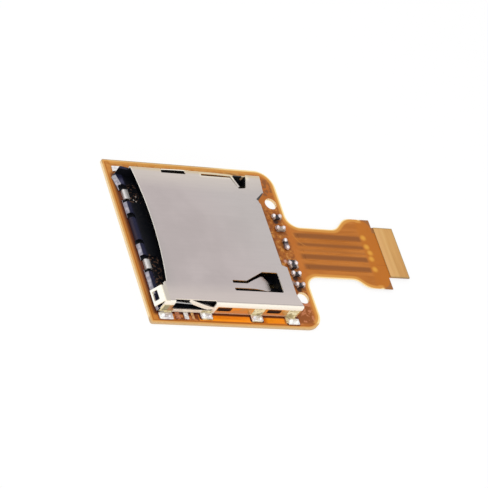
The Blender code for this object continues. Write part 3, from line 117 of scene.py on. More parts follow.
class Wire:
    """A shader socket that can be used in Python sums."""

    def __init__(self, shader, socket):
        self.shader = shader
        self.socket = socket

    def maths(self, operation, other=None, flip=False):
        values = [self] if other is None else [self, other]
        if flip:
            values.reverse()
        return self.shader.node("ShaderNodeMath", {"operation": operation}, values)

    def __add__(self, other):
        return self.maths("ADD", other)

    __radd__ = __add__

    def __mul__(self, other):
        return self.maths("MULTIPLY", other)

    __rmul__ = __mul__

    def __sub__(self, other):
        return self.maths("SUBTRACT", other)

    def __rsub__(self, other):
        return self.maths("SUBTRACT", other, flip=True)

    def __truediv__(self, other):
        return self.maths("DIVIDE", other)

    def __rtruediv__(self, other):
        return self.maths("DIVIDE", other, flip=True)

    def __pow__(self, other):
        return self.maths("POWER", other)

    def __abs__(self):
        return self.maths("ABSOLUTE")

    def __gt__(self, other):
        return self.maths("GREATER_THAN", other)

    def __lt__(self, other):
        return self.maths("LESS_THAN", other)

    def most(self, other):
        return self.maths("MAXIMUM", other)

    def least(self, other):
        return self.maths("MINIMUM", other)


class Shader:
    """A material built node by node."""

    def __init__(self, name):
        self.material = bpy.data.materials.new(name)
        self.material.use_nodes = True
        self.tree = self.material.node_tree
        self.surface = self.tree.nodes["Principled BSDF"]
        self.place = self.tree.nodes.new("ShaderNodeTexCoord").outputs["Object"]

    def put(self, socket, value):
        if isinstance(value, Wire):
            value = value.socket
        if isinstance(value, bpy.types.NodeSocket):
            self.tree.links.new(value, socket)
        elif isinstance(value, tuple) and len(value) == 3 and socket.type == "RGBA":
            socket.default_value = (*value, 1.0)
        else:
            socket.default_value = value

    def node(self, kind, settings=None, inputs=None, output=0):
        """A node of any type: settings are set first, then its sockets by number or name."""
        made = self.tree.nodes.new(kind)
        for key, value in (settings or {}).items():
            setattr(made, key, value)
        pairs = inputs.items() if isinstance(inputs, dict) else enumerate(inputs or [])
        for key, value in pairs:
            self.put(made.inputs[key], value)
        return Wire(self, made.outputs[output])

    def noise(self, size, detail=2.0, roughness=0.5, place=None):
        """Noise whose largest patches are about this many metres across."""
        inputs = {"Vector": place or self.place, "Scale": 1 / size}
        inputs.update({"Detail": detail, "Roughness": roughness})
        return self.node("ShaderNodeTexNoise", None, inputs)

    def stretched(self, scale):
        """Object coordinates multiplied by a scale on each axis."""
        inputs = {"Vector": self.place, "Scale": scale}
        return self.node("ShaderNodeMapping", {"vector_type": "POINT"}, inputs)

    def parts(self, vector, names):
        """The named parts of a vector."""
        split = self.node("ShaderNodeSeparateXYZ", None, [vector]).socket.node
        return [Wire(self, split.outputs[name]) for name in names]

    def axes(self, names):
        """The named object coordinates, in millimetres."""
        return [part * (1 / MM) for part in self.parts(self.place, names)]

    def normals(self, names):
        """The named parts of the surface's normal."""
        return self.parts(self.node("ShaderNodeNewGeometry", output="Normal"), names)

    def clamp(self, value):
        return self.node("ShaderNodeClamp", None, {"Value": value})

    def smooth(self, value, low, high):
        """0 at low, 1 at high and smooth between; low may be the larger."""
        inputs = {"Value": value, "From Min": low, "From Max": high, "To Min": 0.0, "To Max": 1.0}
        settings = {"interpolation_type": "SMOOTHSTEP", "clamp": True}
        return self.node("ShaderNodeMapRange", settings, inputs)

    def band(self, value, low, high, edge=0.05):
        """1 between low and high, falling to 0 over the edge's width."""
        return self.smooth(value, low - edge, low + edge) * self.smooth(value, high + edge, high - edge)

    def inside(self, x, y, xs, ys, corner=0.0):
        """How far inside a rounded rectangle a place lies; less than 0 outside it."""
        across = abs(x - (xs[0] + xs[1]) / 2) - ((xs[1] - xs[0]) / 2 - corner)
        along = abs(y - (ys[0] + ys[1]) / 2) - ((ys[1] - ys[0]) / 2 - corner)
        out = across.most(0.0) ** 2.0 + along.most(0.0) ** 2.0
        return corner - (out ** 0.5 + across.most(along).least(0.0))

    def rounded(self, operation, a, b, reach):
        """The smooth maximum or minimum of two values."""
        return self.node("ShaderNodeMath", {"operation": operation}, [a, b, reach])

    def distance(self, x, y, middle):
        """How far a place lies from a middle, seen from above."""
        return ((x - middle[0]) ** 2.0 + (y - middle[1]) ** 2.0) ** 0.5

    def spot(self, x, y, middle, low, high):
        """1 within the radius low of a place, falling to 0 at the radius high."""
        return self.smooth(self.distance(x, y, middle), high, low)

    def mix(self, factor, a, b):
        """A mix of two colours."""
        return self.node("ShaderNodeMix", {"data_type": "RGBA"}, {0: factor, 6: a, 7: b}, 2)

    def finish(self, colour, roughness, metallic=0.0, bump=None, depth=0.01, **fixed):
        """Sets the surface's own sockets; depth is the bump's height in millimetres."""
        self.put(self.surface.inputs["Base Color"], colour)
        self.put(self.surface.inputs["Roughness"], roughness)
        self.put(self.surface.inputs["Metallic"], metallic)
        for key, value in fixed.items():
            self.put(self.surface.inputs[key.replace("_", " ").title().replace("Ior", "IOR")], value)
        if bump is not None:
            inputs = {"Strength": 1.0, "Distance": depth * MM, "Height": bump}
            self.put(self.surface.inputs["Normal"], self.node("ShaderNodeBump", None, inputs))
        return self.material


# Tones of the cover's sheet: its top with painted reflections, the walls with the film's reflection
# painted on them, painted highlights on its folds and cut edges, and painted shade.
SATIN_TONES = ((0.465, 0.41, 0.405), (0.51, 0.45, 0.445))
REAR_REFLECTION_TONE = (0.515, 0.485, 0.47)
FAR_REFLECTION_TONE = (0.64, 0.575, 0.52)
FRONT_REFLECTION_TONE = (0.41, 0.38, 0.37)
NEAR_REFLECTION_TONE = (0.60, 0.53, 0.50)
ROLLING_LINE = (0.36, 0.33, 0.32)
ARM_HIGHLIGHT = (0.84, 0.76, 0.62)
FAR_FOLD_REFLECTION = (0.64, 0.50, 0.28)
NEAR_FOLD_SHADE_LINE = (0.30, 0.26, 0.24)
WALL_REFLECTION_TONES = ((0.84, 0.34, 0.045), (0.62, 0.34, 0.11))
LOW_WALL_REFLECTION = (0.72, 0.36, 0.11)
WALL_FOOT_REFLECTION = (0.90, 0.55, 0.32)
CUT_EDGE_HIGHLIGHT = (0.90, 0.83, 0.70)
LATCH_SHADOW = (0.035, 0.008, 0.006)
WINDOW_FRAME_HIGHLIGHT = (0.90, 0.80, 0.66)
LEG_TONES_AND_HIGHLIGHTS = ((0.44, 0.34, 0.17), (0.88, 0.78, 0.48))
LEG_FRONT_HIGHLIGHT = (0.92, 0.80, 0.46)
LEG_BROWN = (0.56, 0.28, 0.12)
CORNER_TONES = ((0.33, 0.28, 0.15), (0.46, 0.23, 0.10))
CORNER_EDGE_HIGHLIGHT = (0.90, 0.78, 0.48)
FOLD_HIGHLIGHT = (0.93, 0.86, 0.74)
LEAF_BACK_SHADE = (0.02, 0.018, 0.016)
EAR_TOP_HIGHLIGHT_TONES = ((0.55, 0.50, 0.44), (0.90, 0.86, 0.68))
EAR_FACE_LIGHT_TONES = ((0.93, 0.89, 0.66), (0.90, 0.74, 0.52))
PAINTED_SHADE_BLACK = (0.02, 0.02, 0.02)
GLINT_HIGHLIGHT = (0.95, 0.90, 0.78)
FRONT_EDGE_HIGHLIGHT = (0.95, 0.92, 0.84)

# The painted shade line across the tongue's end: its corner and its direction, and the painted glints
# beside it.
SHADE_LINE_CORNER = (10.97, 8.27)
SHADE_LINE_ALONG = (0.756, 0.655)
GLINTS = ((7.45, 13.0), (9.75, 13.3))


def satin_top(s, lines, patches):
    """The cover's rolled top, with painted reflections that make it lighter towards its rear and its
    far and near folds and darker at its front, a painted highlight on the arm and a painted shade line
    by the near fold.
    """
    x, y = s.axes("XY")
    base = s.mix(s.smooth(patches, 0.35, 0.65), *SATIN_TONES)
    # Painted reflections: lighter towards the rear, the far fold and the near fold, darker at the
    # front.
    base = s.mix(s.smooth(x + y * 0.4, -3.0, 12.0) * 0.6, base, REAR_REFLECTION_TONE)
    base = s.mix(s.smooth(y, 8.5, 13.4) * 0.8, base, FAR_REFLECTION_TONE)
    base = s.mix(s.smooth(x, -10.2, -12.6) * s.smooth(y, 9.0, 4.0) * 0.5, base, FRONT_REFLECTION_TONE)
    base = s.mix(s.smooth(y, -9.0, -12.6) * 0.8, base, NEAR_REFLECTION_TONE)
    base = s.mix(s.smooth(lines, 0.3, 0.75) * 0.1, base, ROLLING_LINE)
    # Painted highlight along the arm.
    arm = s.band(x, 0.6, 10.4, 0.3) * s.smooth(y, 12.2, 12.9)
    base = s.mix(arm * 0.8, base, ARM_HIGHLIGHT)
    # Painted reflection of the film on the far fold.
    base = s.mix(s.smooth(y, 12.7, 13.6) * 0.8, base, FAR_FOLD_REFLECTION)
    # Painted shade: a thin darker line along the near fold.
    return s.mix(s.band(y, -13.4, -13.28, 0.06) * 0.5, base, NEAR_FOLD_SHADE_LINE)


def painted_wall_reflections(s, base, small, wall, edge, near):
    """The walls, with the orange film's reflection painted on them, painted highlights on their cut
    edges, and painted shadow in the gaps beside the near latches.
    """
    x, z = s.axes("XZ")
    # Painted reflection of the orange film on the walls.
    base = s.mix(wall, base, s.mix(s.smooth(small, 0.42, 0.58), *WALL_REFLECTION_TONES))
    # Painted highlight on the cut edges.
    base = s.mix(edge, base, CUT_EDGE_HIGHLIGHT)
    # Painted reflections, lighter low on the walls and at their foot.
    base = s.mix(wall * s.smooth(z, 1.55, 1.4), base, LOW_WALL_REFLECTION)
    base = s.mix(wall * s.smooth(z, 1.1, 0.9), base, WALL_FOOT_REFLECTION)
    for middle in LATCHES_X:
        gap = s.inside(x, z, (middle - 1.35, middle + 1.4), (FILM_TOP + 0.9, FILM_TOP + 1.9), 0.2)
        base = s.mix(near * s.smooth(gap, -0.03, 0.04), base, LATCH_SHADOW)
    return base


def leg_mask(s, near):
    """1 on the near wall's legs, and on its front end."""
    x, z = s.axes("XZ")
    legs = s.smooth(x, -11.6, -11.8)
    for middle in NEAR_FEET_X:
        legs = legs + s.band(x, middle - 1.05, middle + 1.05, 0.06)
    reach = 2.6 - s.band(x, -7.0, -3.0, 0.2) * 1.2
    return near * s.clamp(legs) * s.smooth(z - reach, 0.1, -0.1)


def olive_legs(s, base, small, legs, near):
    """The legs' olive faces with painted cream highlights, a painted highlight on the front leg and
    browner high up, and the brown corner at the wall's front end with a painted highlight on its edge.
    """
    x, z = s.axes("XZ")
    # Olive tones mixed with painted cream highlights; a painted highlight on the front leg.
    olive = s.mix(s.smooth(small, 0.4, 0.6), *LEG_TONES_AND_HIGHLIGHTS)
    olive = s.mix(s.smooth(x, -12.5, -12.8) * 0.5, olive, LEG_FRONT_HIGHLIGHT)
    olive = s.mix(s.band(x, -12.5, -11.0, 0.1) * s.smooth(z, 1.5, 1.8) * 0.8, olive, LEG_BROWN)
    base = s.mix(legs, base, olive)
    corner = near * s.smooth(x, -11.6, -11.8) * s.band(z, 0.95, 2.4, 0.08)
    base = s.mix(corner, base, s.mix(s.smooth(x, -13.0, -12.7), *CORNER_TONES))
    # Painted highlight on the front edge of the corner.
    return s.mix(corner * s.smooth(x, -13.8, -13.9), base, CORNER_EDGE_HIGHLIGHT)


def painted_shade_mask(s):
    """1 on the painted shade across the tongue's end and in the far window."""
    x, y = s.axes("XY")
    from_x = x - SHADE_LINE_CORNER[0]
    from_y = y - SHADE_LINE_CORNER[1]
    along = from_x * SHADE_LINE_ALONG[0] + from_y * SHADE_LINE_ALONG[1]
    past = from_y * SHADE_LINE_ALONG[0] - from_x * SHADE_LINE_ALONG[1]
    painted_shade = s.smooth(past, 0.5, 0.38) * s.band(along, -0.15, 2.1, 0.1)
    return s.clamp(painted_shade + s.band(x, 7.75, 9.55, 0.1) * s.smooth(y, 12.85, 12.95))


def cover_steel():
    """Rolled stainless sheet: satin on top, with painted highlights at the folds, cut edges and feet,
    painted reflections of the film on its walls, and painted shade.
    """
    s = Shader("satin_steel")
    x, y, z = s.axes("XYZ")
    nx, ny, nz = s.normals("XYZ")
    lines = s.noise(0.5 * MM, 4, 0.6, s.stretched((0.06, 1.0, 1.0)))
    patches = s.noise(9 * MM, 3, 0.55)
    small = s.noise(0.7 * MM, 3, 0.6)
    grain = s.noise(0.12 * MM, 2, 0.6)
    top = s.smooth(nz, 0.55, 0.97)
    wall = s.smooth(abs(ny), 0.75, 0.95)
    near = s.smooth(y, -13.0, -13.2)
    edge = (1 - top) * (1 - wall)
    legs = leg_mask(s, near)
    window = near * s.band(x, -12.3, -3.7, 0.1) * (1 - top)
    base = satin_top(s, lines, patches)
    base = painted_wall_reflections(s, base, small, wall, edge, near)
    # Painted highlight on the near window's frame.
    base = s.mix(window, base, WINDOW_FRAME_HIGHLIGHT)
    base = olive_legs(s, base, small, legs, near)
    leaf = s.band(x, -7.1, -2.2, 0.06) * s.smooth(y, 13.1, 13.2)
    # Painted highlight on the far leaf, and painted shade on its back faces.
    base = s.mix(leaf, base, FOLD_HIGHLIGHT)
    base = s.mix(leaf * s.smooth(ny, -0.3, -0.7), base, LEAF_BACK_SHADE)
    # Painted highlight on the near fold.
    fold = near * s.smooth(z, 2.45, 2.65) * (1 - s.smooth(nz, 0.9, 0.99))
    base = s.mix(fold, base, FOLD_HIGHLIGHT)
    ear = s.smooth(x, -13.1, -13.3) * s.smooth(y, -9.3, -9.7)
    # Painted highlight on the ear's top, lighter towards its front.
    base = s.mix(ear * top, base, s.mix(s.smooth(x, -13.9, -14.2), *EAR_TOP_HIGHLIGHT_TONES))
    ear = ear * (1 - top) * s.smooth(y, -13.68, -13.6)
    # Painted light on the ear's front faces, in cream tones.
    base = s.mix(ear, base, s.mix(s.smooth(small, 0.4, 0.6), *EAR_FACE_LIGHT_TONES))
    # Painted shade, black, across the tongue's end and in the far window.
    painted_shade = painted_shade_mask(s)
    base = s.mix(painted_shade, base, PAINTED_SHADE_BLACK)
    # Painted glints by the far window.
    for middle in GLINTS:
        base = s.mix(s.spot(x, y, middle, 0.16, 0.34), base, GLINT_HIGHLIGHT)
    # Painted highlight on the cover's front edge.
    front = s.smooth(nx, -0.4, -0.8) * s.smooth(x, -10.5, -10.9)
    base = s.mix(front, base, FRONT_EDGE_HIGHLIGHT)
    plain = window * 0.8 + legs * 0.7 + fold * 0.7 + painted_shade + ear * 0.8
    plain = s.clamp(plain + front + edge * 0.5 + wall * 0.65 + leaf)
    rough = 0.25 + patches * 0.08 + grain * 0.05 - wall * 0.1
    return s.finish(base, rough, 1 - plain, bump=lines * 0.6 + grain * 0.4, depth=0.0012)


def tab_steel():
    """The bright unworn steel of the tabs."""
    s = Shader("bright_steel")
    patches = s.noise(2.5 * MM, 3, 0.55)
    colour = s.mix(patches, (0.70, 0.68, 0.68), (0.48, 0.46, 0.45))
    return s.finish(colour, 0.3 + patches * 0.1, 0.6, bump=patches, depth=0.01)


# Tones of the film: its copper under amber, the bare strips, stains, painted shade and shadows, and the
# painted glow on the cut edge.
AMBER_TONES = ((0.44, 0.125, 0.014), (0.52, 0.165, 0.024))
TAIL_TONES = ((0.42, 0.130, 0.014), (0.52, 0.175, 0.026))
HEAD_TONES = ((0.44, 0.125, 0.010), (0.51, 0.165, 0.014))
FAR_TONES = ((0.50, 0.19, 0.035), (0.58, 0.29, 0.08))
FRONT_TONES = ((0.52, 0.17, 0.02), (0.62, 0.26, 0.05))
TRACK_BROWN = (0.25, 0.080, 0.016)
TRACK_LINE = (0.24, 0.06, 0.008)
TURN_LINE = (0.66, 0.26, 0.04)
SEAM_LINE = (0.34, 0.09, 0.012)
VIA_GOLD = (0.80, 0.39, 0.05)
POUR_TONES = ((0.98, 0.31, 0.010), (0.78, 0.20, 0.007))
POUR_DARK = (0.38, 0.07, 0.004)
PAD_BROWN = (0.24, 0.07, 0.03)
PAD_OUTLINE = (0.06, 0.008, 0.006)
CROWD_TONES = ((0.12, 0.02, 0.008), (0.50, 0.17, 0.05))
WORN_DARK = (0.22, 0.055, 0.012)
WORN_PINK = (0.52, 0.20, 0.12)
REAR_BROWN = (0.34, 0.11, 0.018)
REAR_SHADOW = (0.17, 0.07, 0.03)
KNOT_DARK = (0.22, 0.055, 0.010)
KNOT_LIGHT = (0.66, 0.30, 0.07)
CHIP_SHADOW = (0.16, 0.045, 0.012)
CHIP_BLACK = (0.022, 0.014, 0.014)
BROWN_BLOB = (0.22, 0.08, 0.025)
EDGE_SHADOW_LINE = (0.16, 0.07, 0.02)
INNER_LINE = (0.30, 0.09, 0.006)
TICK_BROWN = (0.10, 0.035, 0.012)
SOCKET_SHADE = (0.07, 0.012, 0.008)
RIM_GOLD = (0.68, 0.31, 0.06)
RIM_LINE = (0.32, 0.09, 0.006)
RIM_GLOW_TONES = ((0.95, 0.74, 0.36), (0.68, 0.40, 0.15))
FAR_RIM_DARK = (0.34, 0.20, 0.08)
PLUG_RIM_DARK = (0.22, 0.11, 0.05)
SIDE_GLOW_TONES = ((0.95, 0.75, 0.45), (0.66, 0.44, 0.23))
FINGER_GOLD = (0.82, 0.60, 0.25)

# Shapes of the film's pattern and of its painted shadow line.
DIAGONAL = 0.7071
FILLET_REACH = 1.4
SHOULDER_REACH = 1.2
TURN_MIDDLE = (21.6, 4.6)
TURN_RADII = (3.5, 3.62)
SHADOW_LINE_SLOPE = 0.177
SHADOW_LINE_START = 8.44
TICKS_X = (-9.24, -2.88)

# Spots of flux by the chips: place, inner and outer radius, tone.
FLUX_SPOTS = (
    ((14.69, -2.13), 0.2, 0.5, (0.62, 0.36, 0.30)),
    ((14.67, -6.59), 0.25, 0.6, (0.30, 0.25, 0.24)),
)


def film_depth(s, x, y):
    """How far in from the film's cut edge a place lies."""
    board_corner = FRONT_CORNER + (REAR_CORNER - FRONT_CORNER) * (x > 0.0)
    board = s.inside(x, y, BOARD_X, BOARD_Y, board_corner)
    tail = s.inside(x, y, TAIL_SPAN_X, TAIL_Y)
    head = s.inside(x, y, HEAD_X, HEAD_Y, HEAD_CORNER)
    depth = board.most(tail).most(head)
    for side, edge in ((1, TAIL_Y[1]), (-1, TAIL_Y[0])):
        middle = (BOARD_X[1] + TAIL_ROOT_RADIUS, edge + side * TAIL_ROOT_RADIUS)
        out = s.distance(x, y, middle) - TAIL_ROOT_RADIUS
        root = (x > TAIL_ROOT_X) * (x < middle[0])
        root = root * (side * y > side * edge - 1.5) * (side * y < side * middle[1])
        depth = depth.most(out * root + root - 1)
    for side, shoulder_x, k in ((1, NEAR_SHOULDER_X, 0), (-1, FAR_SHOULDER_X, 1)):
        slope = (x - shoulder_x + side * (y - TAIL_Y[k])) * DIAGONAL
        corner = s.rounded("SMOOTH_MIN", slope, side * (y - HEAD_Y[k]), FILLET_REACH)
        corner = corner.least(SHOULDER_END_X - x).least(-1.0 - side * y)
        depth = s.rounded("SMOOTH_MAX", depth, corner, SHOULDER_REACH)
    return depth


def track_strips(s, y):
    """The tracks' dark strips, and the thin line beside each."""
    strips = 0.0
    lines = 0.0
    for middle, width, darkness in TRACKS:
        strips = s.smooth(abs(y - middle), width / 2 + 0.3, width / 2 - 0.26) * darkness + strips
        lines = s.band(middle - y, width / 2 - 0.02, width / 2 + 0.06, 0.08) + lines
    return strips, lines


def amber_ground(s, x, y, patches, mottle, streaks):
    """The film's own tone on the board, the tail, the head and the outer strips."""
    base = s.mix(s.smooth(patches, 0.3, 0.7), *AMBER_TONES)
    tail_tone = s.mix(s.smooth(streaks, 0.35, 0.65), *TAIL_TONES)
    base = s.mix(s.smooth(x, 17.6, 19.2), base, tail_tone)
    base = s.mix(s.smooth(x, 31.8, 33.0), base, s.mix(patches, *HEAD_TONES))
    far_strip = s.smooth(y, 13.6, 14.4) * s.smooth(x, 14.5, 11.0)
    base = s.mix(far_strip, base, s.mix(s.smooth(mottle, 0.4, 0.6), *FAR_TONES))
    return s.mix(s.smooth(x, -14.5, -14.9) * 0.7, base, s.mix(mottle, *FRONT_TONES))


def copper_pattern(s, base, x, y, streaks, strips, lines, length):
    """The tail's tracks, the turned track at its root, the head's seam and the vias."""
    base = s.mix(length * strips * (0.75 + streaks * 0.3), base, TRACK_BROWN)
    base = s.mix(length * lines * 0.35, base, TRACK_LINE)
    turn = s.band(s.distance(x, y, TURN_MIDDLE), *TURN_RADII, 0.12)
    turn = turn * s.smooth(y, 4.2, 3.6) * s.smooth(x, 20.6, 19.6)
    base = s.mix(turn * 0.6, base, TURN_LINE)
    seam = s.band(y, -1.85, -1.7, 0.08) * s.smooth(x, 33.6, 34.0)
    base = s.mix(seam * 0.4, base, SEAM_LINE)
    for middle in VIAS:
        base = s.mix(s.spot(x, y, middle, 0.12, 0.85) * 0.7, base, VIA_GOLD)
    return base


def near_strip(s, base, x, y, mottle, streaks, pour):
    """The orange strip along the near wall, the feet's pads and the crowded dark tracks by them."""
    glow = s.mix(s.smooth(streaks, 0.35, 0.65), *POUR_TONES)
    glow = s.mix(s.band(x, 5.4, 6.6, 0.5) * 0.7, glow, POUR_DARK)
    base = s.mix(pour, base, glow)
    for pad_x, pad_y in NEAR_PADS:
        pad = s.inside(x, y, (pad_x - 1.25, pad_x + 1.25), (pad_y - 0.1, -12.0), 0.3)
        base = s.mix(s.smooth(pad, -0.02, 0.05), base, PAD_BROWN)
        base = s.mix(s.band(pad, -0.08, 0.16, 0.07), base, PAD_OUTLINE)
    crowd = s.band(x, -11.6, -6.6, 0.2) * s.band(y, -15.2, -13.3, 0.1)
    return s.mix(crowd * 0.92, base, s.mix(s.smooth(mottle, 0.45, 0.55), *CROWD_TONES))


def rear_stains_and_shade(s, base, x, y):
    """The stained film behind the socket, with painted shadow under the cover's rear edge, painted
    shade rings round the small parts, and a black spot by the near side of most of them.
    """
    worn = s.band(x, 12.9, 16.6, 0.5) * s.band(y, -15.0, -9.8, 0.5)
    pink = s.smooth(s.noise(0.9 * MM, 2, 0.5), 0.5, 0.58)
    base = s.mix(worn * (1 - pink) * 0.75, base, WORN_DARK)
    base = s.mix(worn * pink * 0.6, base, WORN_PINK)
    rear = s.band(x, 12.6, 17.0, 0.3) * s.band(y, -9.8, 9.5, 0.5)
    base = s.mix(rear * 0.5, base, REAR_BROWN)
    under = s.smooth(x, 14.2, 13.5) * s.band(x, 12.9, 15.0, 0.1) * s.band(y, -9.6, 9.0, 0.5)
    base = s.mix(under * 0.7, base, REAR_SHADOW)
    knots = s.noise(0.75 * MM, 2, 0.5)
    base = s.mix(rear * s.smooth(knots, 0.52, 0.6) * 0.65, base, KNOT_DARK)
    base = s.mix(rear * s.smooth(knots, 0.44, 0.38) * 0.6, base, KNOT_LIGHT)
    for k, chip_y in enumerate(CHIPS_Y):
        # Painted shade ring round each small part.
        ring = s.spot(x, y, (CHIP_X, chip_y - 0.2), 0.6, 1.35)
        base = s.mix(ring * 0.65, base, CHIP_SHADOW)
        if k not in CLEAN_CHIPS:
            # A black spot painted on the film by the part's near side.
            near_dark_spot = s.spot(x, y, (CHIP_X - 0.3, chip_y - 0.7), 0.35, 0.7)
            base = s.mix(near_dark_spot * 0.85, base, CHIP_BLACK)
    blobs = s.band(x, 14.7, 17.0, 0.3) * s.band(y, 11.6, 15.3, 0.4)
    return s.mix(blobs * s.smooth(knots, 0.42, 0.56) * 0.8, base, BROWN_BLOB)


def film_marks(s, base, x, y):
    """The painted shadow line and the inset line at the far edge, the flux spots, and the far edge's
    two ticks.
    """
    # Painted shadow: a dark line on the film near its far edge.
    line = y + (x - SHADOW_LINE_START) * SHADOW_LINE_SLOPE
    edge_shadow = s.band(line, 16.1, 16.26, 0.12) * s.band(x, 8.4, 10.6, 0.3)
    base = s.mix(edge_shadow * 0.7, base, EDGE_SHADOW_LINE)
    inner = s.band(y, 16.1, 16.28, 0.12) * s.band(x, -15.4, -11.5, 0.2)
    base = s.mix(inner * 0.5, base, INNER_LINE)
    for middle, low, high, tone in FLUX_SPOTS:
        base = s.mix(s.spot(x, y, middle, low, high) * 0.8, base, tone)
    for place in TICKS_X:
        tick = s.band(x, place - 0.05, place + 0.05, 0.1) * s.band(y, 15.9, 16.8, 0.1)
        base = s.mix(tick * 0.9, base, TICK_BROWN)
    return base


def socket_shade(s, x, y):
    """The dark line round the socket's foot."""
    socket = s.inside(x, y, (LIP_X, 12.6), (-COVER_SIDE, COVER_SIDE))
    front = s.smooth(socket, -0.95, -0.15) * s.smooth(x, -14.0, -14.4)
    return (s.smooth(socket, -0.46, -0.2) * 0.9).most(front * 0.85)


def film_rim(s, base, x, y, nz):
    """The film's golden rim, and the painted glow of light along its cut edge and on its cut sides,
    which the plug end doesn't have.
    """
    depth = film_depth(s, x, y)
    on_tail = s.smooth(x, 17.6, 19.2)
    plain_end = s.smooth(x, 33.4, 34.1)
    rim = 1 - plain_end
    near_edge = s.smooth(y, -14.5, -15.0) * (1 - on_tail)
    far_edge = s.smooth(y, 16.0, 16.2) * s.smooth(x, 9.0, 4.0)
    narrow = s.clamp(s.smooth(x, -14.5, -14.9) + near_edge)
    golden = s.smooth(depth, 1.15 - narrow * 0.65 - on_tail * 0.25, 0.5 - narrow * 0.15)
    base = s.mix(golden * rim * 0.8, base, RIM_GOLD)
    base = s.mix(s.band(depth, 0.5, 0.6, 0.09) * narrow, base, RIM_LINE)
    # Painted glow of light along the cut edge.
    bright = s.smooth(depth + on_tail * 0.12, 0.42, 0.16) * rim * (1 - far_edge * 0.5)
    base = s.mix(bright, base, s.mix(narrow, *RIM_GLOW_TONES))
    base = s.mix(s.smooth(depth, 0.16, 0.08) * far_edge * 0.8, base, FAR_RIM_DARK)
    base = s.mix(s.smooth(depth, 0.3, 0.05) * plain_end * 0.6, base, PLUG_RIM_DARK)
    # Painted glow of light on the cut sides.
    side = s.smooth(abs(nz), 0.5, 0.2) * (1 - on_tail * s.smooth(depth, 0.1, 0.3))
    return s.mix(side * rim, base, s.mix(near_edge, *SIDE_GLOW_TONES))


def film_amber():
    """Amber film over copper, with its pours, tracks, pads, painted shade round the socket and the
    painted glow along the rim of its cut edge.
    """
    s = Shader("amber_film_over_copper")
    x, y, z = s.axes("XYZ")
    (nz,) = s.normals("Z")
    patches = s.noise(6 * MM, 4, 0.6)
    mottle = s.noise(1.3 * MM, 3, 0.6)
    streaks = s.noise(1.2 * MM, 4, 0.6, s.stretched((0.12, 1.0, 1.0)))
    fine = s.noise(0.3 * MM, 3, 0.6)
    length = s.smooth(x, 17.9, 18.9) * s.smooth(x, 32.6, 32.0)
    strips, lines = track_strips(s, y)
    pour = s.band(x, -13.4, 10.2, 0.12) * s.band(y, -15.15, -13.3, 0.08)
    base = amber_ground(s, x, y, patches, mottle, streaks)
    base = copper_pattern(s, base, x, y, streaks, strips, lines, length)
    base = near_strip(s, base, x, y, mottle, streaks, pour)
    base = rear_stains_and_shade(s, base, x, y)
    base = film_marks(s, base, x, y)
    base = s.mix(socket_shade(s, x, y), base, SOCKET_SHADE)
    base = film_rim(s, base, x, y, nz)
    fingers = s.smooth(z, 0.355, 0.345)
    base = s.mix(fingers, base, FINGER_GOLD)
    rough = 0.3 + fine * 0.1 + patches * 0.06 - pour * 0.12
    relief = strips * length * 0.2 + fine * 0.08 + patches * 0.3
    return s.finish(base, rough, fingers, bump=relief, depth=0.02, specular_ior_level=0.14)


# Tones of the two backings.
BACKING_TONES = ((0.40, 0.17, 0.045), (0.52, 0.24, 0.08))
BACKING_EDGE_GLOW_TONES = ((0.92, 0.70, 0.40), (0.60, 0.40, 0.20))
PLUG_TONES = ((0.53, 0.265, 0.072), (0.60, 0.32, 0.095))
PLUG_PALE = (0.71, 0.41, 0.155)
PLUG_ROOT = (0.62, 0.30, 0.09)
PLUG_STRIPE = (0.78, 0.50, 0.20)
PLUG_OLIVE = (0.30, 0.22, 0.085)
PLUG_EDGE = (0.24, 0.18, 0.075)


def backing_sheet():
    """Backing under the socket, matt with a faint weave and a painted glow on its cut edge."""
    s = Shader("backing_sheet")
    (y,) = s.axes("Y")
    (nz,) = s.normals("Z")
    patches = s.noise(3 * MM, 4, 0.6)
    weave = s.noise(0.18 * MM, 3, 0.7)
    base = s.mix(patches * 0.6 + weave * 0.4, *BACKING_TONES)
    # Painted glow of light on the cut sides.
    side = s.smooth(abs(nz), 0.5, 0.2)
    base = s.mix(side, base, s.mix(s.smooth(y, -14.5, -15.0), *BACKING_EDGE_GLOW_TONES))
    return s.finish(base, 0.5 + weave * 0.15, bump=weave, depth=0.012)


def plug_backing():
    """Tan backing on the plug end, with faint stripes across it and an olive cut edge."""
    s = Shader("plug_backing")
    x, y = s.axes("XY")
    (nz,) = s.normals("Z")
    streaks = s.noise(0.7 * MM, 3, 0.6, s.stretched((1.0, 0.08, 1.0)))
    weave = s.noise(0.15 * MM, 3, 0.7)
    depth = s.inside(x, y, PLUG_X, PLUG_Y)
    base = s.mix(s.smooth(streaks, 0.3, 0.7), *PLUG_TONES)
    base = s.mix(s.smooth(x, 37.6, 36.4) * 0.7, base, PLUG_PALE)
    base = s.mix(s.smooth(x, 36.5, 35.5) * 0.6, base, PLUG_ROOT)
    base = s.mix(s.band(x, 37.3, 37.8, 0.4) * 0.4, base, PLUG_STRIPE)
    base = s.mix(s.smooth(depth, 0.28, 0.05) * 0.7, base, PLUG_OLIVE)
    base = s.mix(s.smooth(abs(nz), 0.5, 0.2) * 0.8, base, PLUG_EDGE)
    return s.finish(base, 0.4 + weave * 0.15, bump=weave, depth=0.008, specular_ior_level=0.3)


# Tones of the moulding.
MOULDING_TONES = ((0.002, 0.003, 0.004), (0.006, 0.006, 0.010))
LIP_TONES = ((0.008, 0.009, 0.028), (0.016, 0.016, 0.045))
LIP_SHINE = (0.10, 0.10, 0.17)
LIP_FACE_REFLECTION_TONES = ((0.36, 0.35, 0.42), (0.60, 0.57, 0.63))
LIP_MIDDLE_TONE = (0.035, 0.025, 0.04)
POST_CHAMFER_REFLECTION = (0.40, 0.40, 0.43)
DUST_BROWN = (0.15, 0.08, 0.05)
DUST_PALE = (0.75, 0.68, 0.62)

